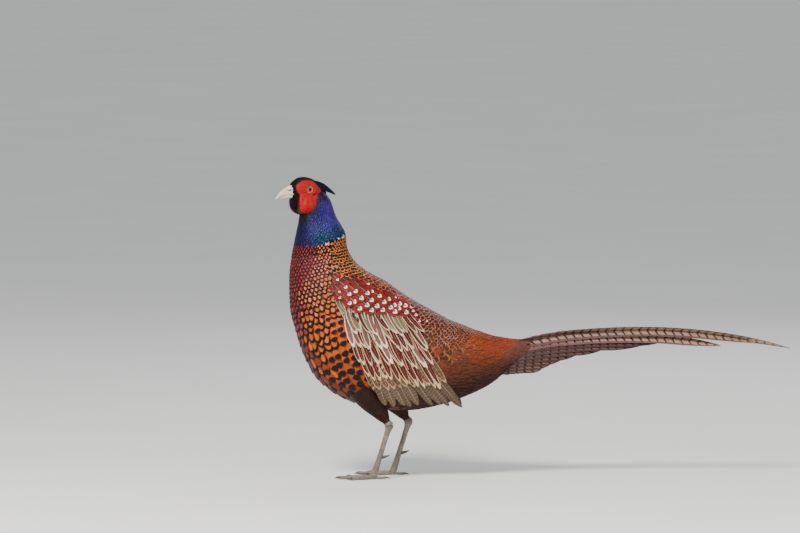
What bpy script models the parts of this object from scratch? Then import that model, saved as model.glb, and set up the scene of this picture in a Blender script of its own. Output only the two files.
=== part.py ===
"""A male common pheasant standing alert, life size, facing -X with its feet on z = 0.

Lengths in the tables are millimetres, and every mesh is made in metres.
"""
import math

import bmesh
import bpy
import numpy as np
from mathutils import Matrix, Vector

MM = 0.001
GAP = 0.3 * MM
# The tables' x is measured from this far behind the middle of the whole length, where the origin lies.
ORIGIN_X = 7.85 * MM

# Body outline with its feathers: one row for each section, from inside the head to the root of the tail.
# Columns: ventral x and z, dorsal x and z, half width.
BODY = MM * np.array([
    (-337, 417, -309, 432, 12),
    (-342, 399, -297, 417, 19),
    (-345, 381, -288, 392, 24),
    (-350, 357, -275, 369, 31),
    (-355, 330, -271, 344, 33),
    (-358, 304, -259, 324, 38),
    (-358, 279, -240, 309, 45),
    (-356, 249, -214, 295, 52),
    (-348, 219, -192, 279, 57),
    (-336, 183, -168, 264, 60),
    (-315, 147, -142, 250, 61),
    (-279, 120, -120, 238, 61),
    (-229, 105, -97, 229, 59),
    (-177, 102, -75, 220, 54),
    (-129, 111, -54, 213, 47),
    (-87, 126, -37, 210, 38),
    (-57, 141, -24, 208, 29),
])
BODY_POWER = 2.2
NECK_START = 1.55
TORSO_START = 3.75
RUMP_START = 13.2
BODY_END = 16.0

# The head, in its own frame: a runs forward along the head, b to its left, c up.
HEAD_CENTRE = Vector((-333, 0, 428)) * MM
HEAD_YAW = math.radians(33)
# Columns: a, top c, bottom c, half width.
HEAD = MM * np.array([
    (-33, -3, -11, 4),
    (-29, 5, -19, 11),
    (-21, 13, -27, 15.5),
    (-10, 19.5, -30, 16.5),
    (2, 23, -30, 15.8),
    (13, 22.5, -28, 13.5),
    (21, 18.5, -20, 11),
    (26, 13, -9, 7.8),
])
HEAD_POWER = 2.3
# Columns: a, top c, lower c, half width, each of the upper bill's sections.
UPPER_BILL = MM * np.array([
    (26, 12.2, -2.2, 6.6),
    (30, 11.6, -1.4, 6.2),
    (36, 8.8, -1.4, 5.2),
    (43.5, 4.2, -2.6, 4.1),
    (49.5, -1.2, -5.0, 2.7),
    (53.5, -6.2, -8.2, 1.0),
])
LOWER_BILL = MM * np.array([
    (26, -2.6, -7.4, 5.8),
    (32, -1.9, -7.8, 5.0),
    (39, -2.2, -7.6, 3.8),
    (45.5, -3.8, -7.4, 2.6),
    (49, -5.4, -7.0, 1.2),
])
EYE_A, EYE_C = 3.2 * MM, 5.6 * MM
EYE_RADIUS = 6.0 * MM
EYE_SINK = 4.6 * MM
LID_RING, LID_THICK = 5.5 * MM, 0.95 * MM
# Outline of the red face skin in a and c.
WATTLE = MM * np.array([
    (23.5, 12), (16, 18), (5, 20), (-6, 15.5), (-16.5, 3), (-11, -7), (-8.5, -17),
    (-1, -28), (9, -32), (21, -27), (24.5, -14), (22, -2), (24, 4),
])
WATTLE_CENTRE = (5 * MM, -3 * MM)
WATTLE_RISE, WATTLE_DEPTH = 2.6 * MM, 3.5 * MM
JOWL_RISE, JOWL_DROP = 7.0 * MM, 22 * MM
TUFT_ROOT = Vector((-13, 11, 13)) * MM
TUFT_TIP = Vector((-44, 13, -4)) * MM

# Wing feathers, in the side view: how many, first and last root (x, z), first and last tip (x, z),
# full width, height over the body at root and tip.
WING_TIERS = (
    ("primaries", 7, (-234, 194), (-178, 212), (-214, 112), (-104, 110), 19, 2.2, 3.4),
    ("secondaries", 7, (-250, 212), (-178, 226), (-229, 138), (-126, 146), 20, 3.4, 6.0),
    ("coverts", 7, (-266, 240), (-178, 240), (-248, 178), (-140, 186), 20, 3.6, 8.6),
    ("scapulars_low", 7, (-272, 256), (-186, 250), (-262, 224), (-148, 216), 21, 3.4, 10.0),
    ("scapulars_high", 6, (-262, 268), (-192, 262), (-262, 246), (-160, 236), 22, 2.6, 10.8),
)
WING_TILT = 1.1 * MM
VANE_THICK = 0.6 * MM
# Corners of the fleshy part of the folded wing: front top, rear top, rear bottom, front bottom.
WING_CORE = MM * np.array([(-296, 286), (-178, 272), (-160, 196), (-238, 172)])
WING_CORE_HEIGHT = 6.0 * MM
WING_CORE_ROUND = 0.7

# Tail feathers in pairs from the long middle pair outwards: length and full width.
TAIL_PAIRS = (
    (446, 30), (341, 29), (245, 28), (218, 27), (160, 26), (122, 25), (100, 23), (84, 21), (72, 19),
)
TAIL_ROOT_X = -52 * MM
TAIL_CREST = Vector((170, 0, 227)) * MM
TAIL_FALL_FRONT, TAIL_FALL_BACK = 0.43, 0.60
TAIL_STEP = 5.0 * MM
TAIL_LAYER = 1.2 * MM
TAIL_FAN_DROP = 10 * MM
LEFT_MIDDLE_SHORTER, LEFT_MIDDLE_DROP = 48 * MM, 3.5 * MM
# Columns: x, centre z, half height, half width of the fleshy root that the tail feathers grow from.
TAIL_CORE = MM * np.array([(-40.5, 174.5, 34, 27), (-22, 183, 25, 17), (-2, 192, 15, 10), (14, 198, 7, 6)])

FOOT_LEFT = Vector((-232, -36, 0)) * MM
FOOT_RIGHT = Vector((-203, 36, 0)) * MM
HOCK_BACK, HOCK_HEIGHT = 24 * MM, 80 * MM
KNEE_FORWARD, KNEE_INWARD, KNEE_HEIGHT = 16 * MM, 10 * MM, 140 * MM
SHANK_RADIUS = 3.9 * MM
TOES = ((0, 50, 3.7), (-31, 38, 3.4), (30, 42, 3.4), (172, 17, 2.8))
CLAW_LENGTH = 9 * MM

COLOURS = {
    "crown": (0.02, 0.06, 0.05), "neck": (0.05, 0.06, 0.30), "breast": (0.38, 0.12, 0.05),
    "rump": (0.33, 0.12, 0.04), "wing": (0.40, 0.30, 0.22), "tail": (0.40, 0.31, 0.22),
    "wattle": (0.75, 0.01, 0.01), "bill": (0.72, 0.66, 0.55), "eye": (0.55, 0.25, 0.05),
    "leg": (0.35, 0.31, 0.27),
}


def clear_scene():
    for old in list(bpy.data.objects):
        bpy.data.objects.remove(old)


def material(name, roughness=0.6):
    """The named material, made once."""
    found = bpy.data.materials.get(name)
    if found is None:
        found = bpy.data.materials.new(name)
        found.use_nodes = True
        shader = found.node_tree.nodes["Principled BSDF"]
        shader.inputs["Base Color"].default_value = (*COLOURS[name], 1)
        shader.inputs["Roughness"].default_value = roughness
        shader.inputs["Metallic"].default_value = 0
    return found


def add_object(name, points, faces):
    mesh = bpy.data.meshes.new(name)
    mesh.from_pydata([tuple(p) for p in points], [], faces)
    mesh.update()
    made = bpy.data.objects.new(name, mesh)
    bpy.context.scene.collection.objects.link(made)
    return made


def face_outwards(obj):
    mesh = bmesh.new()
    mesh.from_mesh(obj.data)
    bmesh.ops.recalc_face_normals(mesh, faces=mesh.faces)
    mesh.to_mesh(obj.data)
    mesh.free()
    return obj


def curve_row(table, t):
    """The table's row at t, on a smooth curve through its rows."""
    last = len(table) - 1
    i = min(max(int(math.floor(t)), 0), last - 1)
    u = t - i
    before, here, there, after = table[max(i - 1, 0)], table[i], table[i + 1], table[min(i + 2, last)]
    return 0.5 * (
        2 * here + (there - before) * u + (2 * before - 5 * here + 4 * there - after) * u * u
        + (3 * here - before - 3 * there + after) * u ** 3
    )


def rounded(angle, power):
    """A point at this angle on a unit superellipse, as cosine and sine."""
    c, s = math.cos(angle), math.sin(angle)
    return (math.copysign(abs(c) ** (2 / power), c), math.copysign(abs(s) ** (2 / power), s))


def loft(name, rings):
    """A closed solid through rings of equal count, with a flat fan on each end."""
    count = len(rings[0])
    points = [p for ring in rings for p in ring]
    faces = []
    for i in range(len(rings) - 1):
        for j in range(count):
            k = (j + 1) % count
            faces.append((i * count + j, i * count + k, (i + 1) * count + k, (i + 1) * count + j))
    for first in (0, (len(rings) - 1) * count):
        centre = sum((Vector(p) for p in points[first:first + count]), Vector()) / count
        points.append(centre)
        hub = len(points) - 1
        faces += [(hub, first + j, first + (j + 1) % count) for j in range(count)]
    return face_outwards(add_object(name, points, faces))


def body_ring(t, count, grow=0.0):
    """Section t of the body, from the back round by the left side."""
    ventral_x, ventral_z, dorsal_x, dorsal_z, width = curve_row(BODY, t)
    middle = Vector(((ventral_x + dorsal_x) / 2, 0, (ventral_z + dorsal_z) / 2))
    half = Vector(((dorsal_x - ventral_x) / 2, 0, (dorsal_z - ventral_z) / 2))
    half += half.normalized() * grow
    ring = []
    for j in range(count):
        c, s = rounded(2 * math.pi * j / count, BODY_POWER)
        ring.append(middle + half * c + Vector((0, -(width + grow) * s, 0)))
    return ring


def body_loft(name, start, end, steps, count, grow=0.0):
    stations = np.linspace(start, end, steps)
    return loft(name, [body_ring(t, count, grow) for t in stations])


def side_place(x, z):
    """Which body section a point of the side view lies on, and how high on it: -1 ventral to 1 dorsal."""
    low, high = 0.0, len(BODY) - 1.0
    for _ in range(28):
        t = (low + high) / 2
        row = curve_row(BODY, t)
        if (row[2] - row[0]) * (z - row[1]) - (row[3] - row[1]) * (x - row[0]) > 0:
            high = t
        else:
            low = t
    row = curve_row(BODY, t)
    along = np.array((row[2] - row[0], row[3] - row[1]))
    share = np.dot((x - row[0], z - row[1]), along) / np.dot(along, along)
    return t, 2 * share - 1, row[4]


def side_depth(x, z):
    """How far the left side of the body, with a wing hanging straight below it, stands out at this place."""
    _, share, width = side_place(x, z)
    if share > 0:
        return width * (1 - min(share, 0.97) ** BODY_POWER) ** (1 / BODY_POWER)
    return width * math.sqrt(1 - (0.55 * max(share, -1.5)) ** 2)


def side_point(x, z, height):
    """A point of the left side's surface in the side view, raised by height along the surface's normal."""
    step = 2 * MM
    slope_x = (side_depth(x + step, z) - side_depth(x - step, z)) / (2 * step)
    slope_z = (side_depth(x, z + step) - side_depth(x, z - step)) / (2 * step)
    normal = Vector((-slope_x, -1, -slope_z)).normalized()
    return Vector((x, -side_depth(x, z), z)) + normal * height, normal


def head_point(a, b, c):
    """A point of the head's frame in the row frame."""
    forward = Vector((-math.cos(HEAD_YAW), -math.sin(HEAD_YAW), 0))
    left = Vector((math.sin(HEAD_YAW), -math.cos(HEAD_YAW), 0))
    return HEAD_CENTRE + forward * a + left * b + Vector((0, 0, c))


def head_row(a):
    """Top, bottom and half width of the head at a."""
    t = float(np.interp(a, HEAD[:, 0], np.arange(len(HEAD))))
    return curve_row(HEAD, t)[1:]


def head_side(a, c):
    """How far the side of the face stands out from the middle of the head, hanging straight under the jaw."""
    top, bottom, width = head_row(a)
    share = (c - (top + bottom) / 2) / ((top - bottom) / 2)
    return width * math.sqrt(1 - (0.75 * max(-1.15, min(share, 1.05))) ** 2)


def mirrored(obj, name):
    """A copy of a mesh object on the other side of the body."""
    points = [Vector((v.co.x, -v.co.y, v.co.z)) for v in obj.data.vertices]
    faces = [tuple(reversed(p.vertices)) for p in obj.data.polygons]
    return add_object(name, points, faces)


def vane(name, stations, thickness=VANE_THICK):
    """A thin feather. Each station is centre, sideways unit vector, normal, half widths in front and behind.

    Both faces are split into the same triangles, so that a curved vane never crosses itself.
    """
    points = []
    for centre, side, normal, front, back in stations:
        edge_drop = normal * (-0.25 * thickness)
        crest = centre + normal * (0.3 * thickness)
        top = (centre + side * front + edge_drop, crest, centre - side * back + edge_drop)
        points += top
        points += [p - normal * thickness for p in reversed(top)]
    faces = [(0, 5, 4), (0, 4, 1), (1, 4, 3), (1, 3, 2)]
    for i in range(len(stations) - 1):
        m, n = 6 * i, 6 * (i + 1)
        for j, k in ((0, 1), (1, 2)):
            outer, inner = (j, k) if j == 0 else (k, j)
            faces += [(m + outer, m + inner, n + outer), (m + inner, n + inner, n + outer)]
            under, over = 5 - outer, 5 - inner
            faces += [(m + under, m + over, n + under), (m + over, n + over, n + under)]
        faces += [(m + 2, m + 3, n + 3), (m + 2, n + 3, n + 2), (m + 5, m, n), (m + 5, n, n + 5)]
    end = 6 * (len(stations) - 1)
    cap = ((0, 5, 4), (0, 4, 1), (1, 4, 3), (1, 3, 2))
    faces += [tuple(end + corner for corner in face) for face in cap]
    return face_outwards(add_object(name, points, faces))


def tip_taper(u, blunt):
    """Share of a feather's width at u of its length: narrow at the root, rounded or pointed at the tip."""
    root = 0.45 + 0.55 * min(u / 0.3, 1.0)
    tip = (1 - max(0.0, (u - blunt) / (1 - blunt)) ** 2) ** 0.5
    return root * max(tip, 0.16)


def largest_body(obj):
    """Leaves only the largest closed surface of the mesh."""
    mesh = bmesh.new()
    mesh.from_mesh(obj.data)
    bmesh.ops.triangulate(mesh, faces=mesh.faces)
    todo, bodies = set(mesh.faces), []
    while todo:
        body, waiting = set(), [todo.pop()]
        while waiting:
            face = waiting.pop()
            body.add(face)
            for edge in face.edges:
                if len(edge.link_faces) != 2:
                    continue
                for other in edge.link_faces:
                    if other in todo:
                        todo.discard(other)
                        waiting.append(other)
        bodies.append(body)
    bodies.sort(key=lambda body: sum(face.calc_area() for face in body))
    small = [face for body in bodies[:-1] for face in body]
    bmesh.ops.delete(mesh, geom=small, context="FACES")
    mesh.to_mesh(obj.data)
    mesh.free()


def apply_modifiers(obj):
    graph = bpy.context.evaluated_depsgraph_get()
    mesh = bpy.data.meshes.new_from_object(obj.evaluated_get(graph))
    obj.modifiers.clear()
    obj.data = mesh


def fuse(obj, pieces, solver="MANIFOLD"):
    """Joins the closed pieces to obj with one union."""
    group = bpy.data.collections.new(obj.name + "_pieces")
    bpy.context.scene.collection.children.link(group)
    for piece in pieces:
        bpy.context.scene.collection.objects.unlink(piece)
        group.objects.link(piece)
    union = obj.modifiers.new("union", "BOOLEAN")
    union.operation = "UNION"
    union.operand_type = "COLLECTION"
    union.collection = group
    union.solver = solver
    apply_modifiers(obj)
    for piece in pieces:
        bpy.data.objects.remove(piece)
    bpy.data.collections.remove(group)
    largest_body(obj)
    return obj


def cut(obj, *cutters, keep=False, solver="MANIFOLD"):
    """Takes the cutters away from obj, and removes them unless they are kept for another cut."""
    for cutter in cutters:
        step = obj.modifiers.new("cut", "BOOLEAN")
        step.operation = "DIFFERENCE"
        step.object = cutter
        step.solver = solver
    apply_modifiers(obj)
    if not keep:
        for cutter in cutters:
            bpy.data.objects.remove(cutter)
    largest_body(obj)
    return obj


def finish(obj, name, slot, roughness=0.6, smooth=35):
    obj.name = name
    obj.data.name = name
    obj.data.materials.clear()
    obj.data.materials.append(material(slot, roughness))
    obj.data.polygons.foreach_set("material_index", [0] * len(obj.data.polygons))
    obj.data.shade_smooth()
    obj.data.set_sharp_from_angle(angle=math.radians(smooth))
    return obj


def ball(name, centre, radius, rings=10, segments=16):
    mesh = bmesh.new()
    bmesh.ops.create_uvsphere(mesh, u_segments=segments, v_segments=rings, radius=radius)
    bmesh.ops.translate(mesh, verts=mesh.verts, vec=centre)
    data = bpy.data.meshes.new(name)
    mesh.to_mesh(data)
    mesh.free()
    made = bpy.data.objects.new(name, data)
    bpy.context.scene.collection.objects.link(made)
    return made


def head_loft(name, grow=0.0, count=24, steps=12):
    rings = []
    for a in np.linspace(HEAD[0, 0] - grow, HEAD[-1, 0] + grow, steps):
        top, bottom, width = head_row(a)
        middle, half = (top + bottom) / 2, (top - bottom) / 2 + grow
        ring = []
        for j in range(count):
            c, s = rounded(2 * math.pi * j / count, HEAD_POWER)
            ring.append(head_point(a, (width + grow) * s, middle + half * c))
        rings.append(ring)
    return loft(name, rings)


def side_of(side):
    """1 for the bird's left, -1 for its right."""
    return 1 if side == "left" else -1


def eye_centre(side):
    depth = head_side(EYE_A, EYE_C) - EYE_SINK
    return head_point(EYE_A, side_of(side) * depth, EYE_C)


def ear_tuft(side, index, grow=0.0):
    """One pointed feather of the tuft over the ear."""
    sign = side_of(side)
    spread = (index - 1) * 4 * MM
    root = Vector((TUFT_ROOT.x, sign * (TUFT_ROOT.y + 0.4 * spread), TUFT_ROOT.z - 0.9 * spread))
    tip_y, tip_z = sign * (TUFT_TIP.y + 0.3 * spread), TUFT_TIP.z - 0.5 * spread
    tip = Vector((TUFT_TIP.x + abs(spread) * 1.6, tip_y, tip_z))
    stations = []
    start, end = head_point(*root), head_point(*tip)
    along = (end - start).normalized()
    out = (head_point(0, sign, 0) - HEAD_CENTRE).normalized()
    side_way = along.cross(out).normalized()
    normal = side_way.cross(along).normalized()
    for u in np.linspace(0, 1, 4):
        centre = start.lerp(end, u) + Vector((0, 0, 3.0 * MM * math.sin(math.pi * u)))
        half = 4.2 * MM * tip_taper(u, 0.35) + grow
        stations.append((centre + normal * grow, side_way, normal, half, half))
    return vane(f"tuft_{side}_{index}", stations, 1.1 * MM + 2 * grow)


def head_body(name, grow=0.0):
    """The head, the top of the neck under it and the tufts over its ears."""
    head = head_loft(name, grow)
    neck_top = body_loft("neck_top", 0.0, NECK_START, 5, 24, grow)
    tufts = [ear_tuft(side, i, grow) for side in ("left", "right") for i in range(3)]
    return fuse(head, [neck_top, *tufts])


def make_head():
    head = head_body("head")
    sockets = [ball("socket", eye_centre(side), EYE_RADIUS + GAP, 8, 12) for side in ("left", "right")]
    cut(head, *sockets)
    return finish(head, "head", "crown", 0.35)


def bill_rings(table, start, arch_up, count=8):
    """Sections of half a bill: a flat edge and an arch over or under it."""
    rings = []
    for t in np.linspace(0, len(table) - 1, 9):
        a, top, low, width = curve_row(table, t)
        a = max(a, start)
        flat, peak = (low, top) if arch_up else (top, low)
        ring = []
        for j in range(count + 1):
            angle = math.pi * j / count
            reach = math.sin(angle) ** 0.85 if 0 < j < count else 0.0
            ring.append(head_point(a, width * math.cos(angle), flat + (peak - flat) * reach))
        rings.append(ring)
    return rings


def make_bill():
    start = HEAD[-1, 0] + GAP
    upper = loft("bill_upper", bill_rings(UPPER_BILL, start, True))
    nostrils = []
    for sign in (1, -1):
        slit = ball("slit", Vector(), 1.0, 4, 8)
        slit.data.transform(Matrix.Diagonal((3.4 * MM, 1.5 * MM, 1.1 * MM, 1)))
        turn = Matrix.Rotation(HEAD_YAW, 4, "Z") @ Matrix.Rotation(math.radians(-18), 4, "Y")
        slit.data.transform(Matrix.Translation(head_point(31.5 * MM, sign * 5.6 * MM, 3.2 * MM)) @ turn)
        nostrils.append(slit)
    cut(upper, *nostrils)
    finish(upper, "bill_upper", "bill", 0.35)
    lower = loft("bill_lower", bill_rings(LOWER_BILL, start, False))
    return upper, finish(lower, "bill_lower", "bill", 0.35)


def make_eye(side):
    return finish(ball("eye", eye_centre(side), EYE_RADIUS, 8, 14), f"eye_{side}", "eye", 0.05)


def wattle_outline(count):
    """The outline as points, on a smooth closed curve."""
    table = np.vstack([WATTLE[-2:], WATTLE, WATTLE[:3]])
    return [curve_row(table, 2 + len(WATTLE) * j / count) for j in range(count)]


def wattle_rise(share, angle, c):
    """Rise of the face skin over the head at a share of the way to its edge, with folds and a full jowl."""
    dome = (1 - share ** 6) ** 0.5
    folds = 0.22 * math.sin(7 * angle + 4 * share) * math.sin(math.pi * share)
    low = min(max(-c / JOWL_DROP, 0.0), 1.0)
    jowl = JOWL_RISE * low * low * (3 - 2 * low) * (0.45 + 0.55 * dome)
    return WATTLE_RISE * (0.30 + 0.70 * dome + folds * dome) + jowl


def make_wattle(side, head_cutter):
    """The bare red skin of the face, with a raised lid round the eye."""
    sign = side_of(side)
    shares = (1.0, 0.96, 0.84, 0.66, 0.46, 0.24)
    outline = wattle_outline(26)
    points, faces = [], []
    count = len(outline)
    for layer in (0, 1):
        for share in shares if layer == 0 else (1.0,):
            for j, (a, c) in enumerate(outline):
                here_a = WATTLE_CENTRE[0] + share * (a - WATTLE_CENTRE[0])
                here_c = WATTLE_CENTRE[1] + share * (c - WATTLE_CENTRE[1])
                if layer == 0:
                    rise = wattle_rise(share, 2 * math.pi * j / count, here_c)
                else:
                    rise = -WATTLE_DEPTH
                points.append(head_point(here_a, sign * (head_side(here_a, here_c) + rise), here_c))
    for i in range(len(shares) - 1):
        for j in range(count):
            k = (j + 1) % count
            faces.append((i * count + j, i * count + k, (i + 1) * count + k, (i + 1) * count + j))
    a, c = WATTLE_CENTRE
    points.append(head_point(a, sign * (head_side(a, c) + WATTLE_RISE), c))
    hub = len(points) - 1
    inner = (len(shares) - 1) * count
    faces += [(hub, inner + j, inner + (j + 1) % count) for j in range(count)]
    under = len(shares) * count
    faces += [(j, under + j, under + (j + 1) % count, (j + 1) % count) for j in range(count)]
    points.append(head_point(a, sign * (head_side(a, c) - WATTLE_DEPTH), c))
    hub = len(points) - 1
    faces += [(hub, under + (j + 1) % count, under + j) for j in range(count)]
    skin = face_outwards(add_object("wattle", points, faces))
    cut(skin, eye_window(side))
    fuse(skin, [eyelid(side)])
    cut(skin, head_cutter, keep=True)
    cut(skin, ball("socket", eye_centre(side), EYE_RADIUS + GAP, 10, 16))
    return finish(skin, f"wattle_{side}", "wattle", 0.5, 60)


def eye_axis(side):
    return (head_point(0, side_of(side), 0) - HEAD_CENTRE).normalized()


def eye_window(side):
    """A cutter that opens the face skin over the eye."""
    mesh = bmesh.new()
    bmesh.ops.create_cone(mesh, cap_ends=True, segments=18, radius1=LID_RING, radius2=LID_RING, depth=30 * MM)
    turn = eye_axis(side).to_track_quat("Z", "Y").to_matrix().to_4x4()
    place = eye_centre(side) + eye_axis(side) * (4 * MM)
    bmesh.ops.transform(mesh, matrix=Matrix.Translation(place) @ turn, verts=mesh.verts)
    data = bpy.data.meshes.new("window")
    mesh.to_mesh(data)
    mesh.free()
    made = bpy.data.objects.new("window", data)
    bpy.context.scene.collection.objects.link(made)
    return made


def eyelid(side):
    """A ring of lid that hugs the eyeball."""
    axis = eye_axis(side)
    reach = EYE_RADIUS + GAP + LID_THICK
    centre = eye_centre(side) + axis * math.sqrt(reach ** 2 - LID_RING ** 2)
    across = axis.cross(Vector((0, 0, 1))).normalized()
    up = across.cross(axis).normalized()
    major, minor = 18, 6
    points, faces = [], []
    for i in range(major):
        turn = 2 * math.pi * i / major
        radial = across * math.cos(turn) + up * math.sin(turn)
        for j in range(minor):
            roll = 2 * math.pi * j / minor
            reach_out = LID_RING + LID_THICK * math.cos(roll)
            points.append(centre + radial * reach_out + axis * (LID_THICK * math.sin(roll)))
            i2, j2 = (i + 1) % major, (j + 1) % minor
            faces.append((i * minor + j, i2 * minor + j, i2 * minor + j2, i * minor + j2))
    return face_outwards(add_object("lid", points, faces))


def wing_vane(tier, index, jitter):
    name, count, root0, root1, tip0, tip1, width, low, high = tier
    s = index / (count - 1)
    root = Vector(root0).lerp(Vector(root1), s) * MM
    tip = Vector(tip0).lerp(Vector(tip1), s) * MM + Vector((jitter[0], jitter[1])) * MM
    along = (tip - root).normalized()
    side = Vector((along.y, -along.x))
    if side.x > 0:
        side = -side
    spacing = (Vector(root1) - Vector(root0)).length * MM / (count - 1)
    stations = []
    for u in (0.0, 0.22, 0.5, 0.78, 1.0) if name == "primaries" else (0.0, 0.3, 0.7, 1.0):
        bow = side * (2.5 * MM * math.sin(math.pi * u))
        place = root.lerp(tip, u) + bow
        half = width / 2 * MM * tip_taper(u, 0.62)
        height = (low + (high - low) * u) * MM
        centre, normal = side_point(place.x, place.y, height)
        tilt = WING_TILT * half / spacing
        front, _ = side_point(place.x + side.x * half, place.y + side.y * half, height + tilt)
        back, _ = side_point(place.x - side.x * half, place.y - side.y * half, height - tilt)
        across = (front - back).normalized()
        stations.append((centre, across, normal, half, half))
    return vane(f"{name}_{index}", stations)


def wing_core():
    """The closed wing's flesh and small coverts: a low pad over the flank."""
    across, along = 6, 5
    points, faces = [], []
    for layer in (0, 1):
        for i in range(across):
            for j in range(along):
                ahead, down = 2 * i / (across - 1) - 1, 2 * j / (along - 1) - 1
                u = 0.5 + 0.5 * ahead * math.sqrt(1 - WING_CORE_ROUND * down ** 2 / 2)
                v = 0.5 + 0.5 * down * math.sqrt(1 - WING_CORE_ROUND * ahead ** 2 / 2)
                top = WING_CORE[0] * (1 - u) + WING_CORE[1] * u
                low = WING_CORE[3] * (1 - u) + WING_CORE[2] * u
                x, z = top * (1 - v) + low * v
                edge = (1 - ahead ** 4) * (1 - down ** 4)
                height = 1.0 * MM + (WING_CORE_HEIGHT - 1.0 * MM) * edge ** 0.5
                point, _ = side_point(x, z, height if layer else -2.5 * MM)
                points.append(point)
    layer_size = across * along
    for i in range(across - 1):
        for j in range(along - 1):
            p = i * along + j
            quad = (p, p + 1, p + along + 1, p + along)
            faces.append(quad)
            faces.append(tuple(q + layer_size for q in reversed(quad)))
    rim = [i * along for i in range(across)] + [(across - 1) * along + j for j in range(1, along)]
    rim += [i * along + along - 1 for i in range(across - 2, -1, -1)] + [j for j in range(along - 2, 0, -1)]
    for here, there in zip(rim, rim[1:] + rim[:1]):
        faces.append((here, there, there + layer_size, here + layer_size))
    return face_outwards(add_object("wing_core", points, faces))


def make_wings(body_cutter):
    rng = np.random.default_rng(7)
    vanes = []
    for tier in WING_TIERS:
        for index in range(tier[1]):
            vanes.append(wing_vane(tier, index, rng.uniform(-1.8, 1.8, 2)))
    left = fuse(wing_core(), vanes)
    cut(left, body_cutter, keep=True)
    right = mirrored(left, "wing_right")
    return finish(left, "wing_left", "wing"), finish(right, "wing_right", "wing")


def tail_line(x):
    """Height of the tail's crest line at x."""
    fall = TAIL_FALL_FRONT if x < TAIL_CREST.x else TAIL_FALL_BACK
    return TAIL_CREST.z - fall * (x - TAIL_CREST.x) ** 2


def tail_vane(pair, sign):
    """One tail feather, stacked under and outside the pair before it."""
    length, width = (size * MM for size in TAIL_PAIRS[pair])
    left_middle = pair == 0 and sign < 0
    if left_middle:
        length -= LEFT_MIDDLE_SHORTER
    offset_y, offset_z, roll = 2.0 * MM, -6.5 * MM, math.radians(32)
    for _ in range(pair):
        offset_y += TAIL_STEP * math.cos(roll) - TAIL_LAYER * math.sin(roll)
        offset_z -= TAIL_STEP * math.sin(roll) + TAIL_LAYER * math.cos(roll)
        roll += math.radians(7)
    if sign < 0:
        offset_z -= TAIL_LAYER
    stations = []
    steps = 8 if pair == 0 else 6 if pair < 2 else 5
    for u in np.linspace(0, 1, steps):
        x = TAIL_ROOT_X + length * u
        root_pull = min(1.0, 0.6 + 1.6 * u)
        y = sign * offset_y * (1 - 0.5 * u) * root_pull
        z = tail_line(x) + (offset_z + 22 * MM) * root_pull - 22 * MM
        if pair == 0:
            z -= offset_z * 0.5 * u
            z -= LEFT_MIDDLE_DROP * u ** 1.5 if left_middle else 0
        else:
            z -= TAIL_FAN_DROP * u ** 1.5
        ahead = tail_line(x + MM) - tail_line(x - MM)
        along = Vector((2 * MM, 0, ahead)).normalized()
        outward = Vector((0, sign * math.cos(roll), -math.sin(roll)))
        outward = (outward - along * outward.dot(along)).normalized()
        normal = along.cross(outward).normalized()
        if normal.z < 0:
            normal = -normal
        root_taper, tip_taper_share = 0.5 + 0.5 * min(u / 0.18, 1), max(0.0, (u - 0.82) / 0.18) ** 2
        half = width / 2 * root_taper * (1 - 0.45 * u) * (1 - 0.85 * tip_taper_share)
        stations.append((Vector((x, y, z)), outward, normal, half * 1.05, half * 0.95))
    return vane(f"tail_{pair}_{sign}", stations, 0.75 * MM)


def make_tail():
    rings = []
    for t in np.linspace(0, len(TAIL_CORE) - 1, 7):
        x, z, high, wide = curve_row(TAIL_CORE, t)
        ring = []
        for j in range(16):
            c, s = rounded(2 * math.pi * j / 16, 2.0)
            ring.append(Vector((x + 0.20 * high * c * (1 - t / 3), -wide * s, z + high * c)))
        rings.append(ring)
    core = loft("tail", rings)
    vanes = [tail_vane(pair, sign) for pair in range(len(TAIL_PAIRS)) for sign in (1, -1)]
    return core, vanes


def leg_path(foot):
    """Points and radii down the leg from the knee, inside the flank, to the ball of the foot."""
    knee = foot + Vector((-KNEE_FORWARD, -math.copysign(KNEE_INWARD, foot.y), KNEE_HEIGHT))
    hock = foot + Vector((HOCK_BACK, 0, HOCK_HEIGHT))
    ball_of_foot = foot + Vector((2 * MM, 0, 9 * MM))
    return knee, hock, ball_of_foot


def tube(name, centres, radii, count=12, flat_floor=False):
    """A closed tube through the centres. With flat_floor, what would pass under z = 0 lies flat on it."""
    rings = []
    for i, centre in enumerate(centres):
        ahead = centres[min(i + 1, len(centres) - 1)] - centres[max(i - 1, 0)]
        ahead.normalize()
        side = ahead.cross(Vector((0, 0, 1)))
        side = side.normalized() if side.length > 0.2 else Vector((0, 1, 0))
        up = side.cross(ahead).normalized()
        ring = []
        for j in range(count):
            turn = 2 * math.pi * j / count
            point = centre + (side * math.cos(turn) + up * math.sin(turn)) * radii[i]
            if flat_floor:
                point.z = max(point.z, 0.0)
            ring.append(point)
        rings.append(ring)
    return loft(name, rings)


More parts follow.
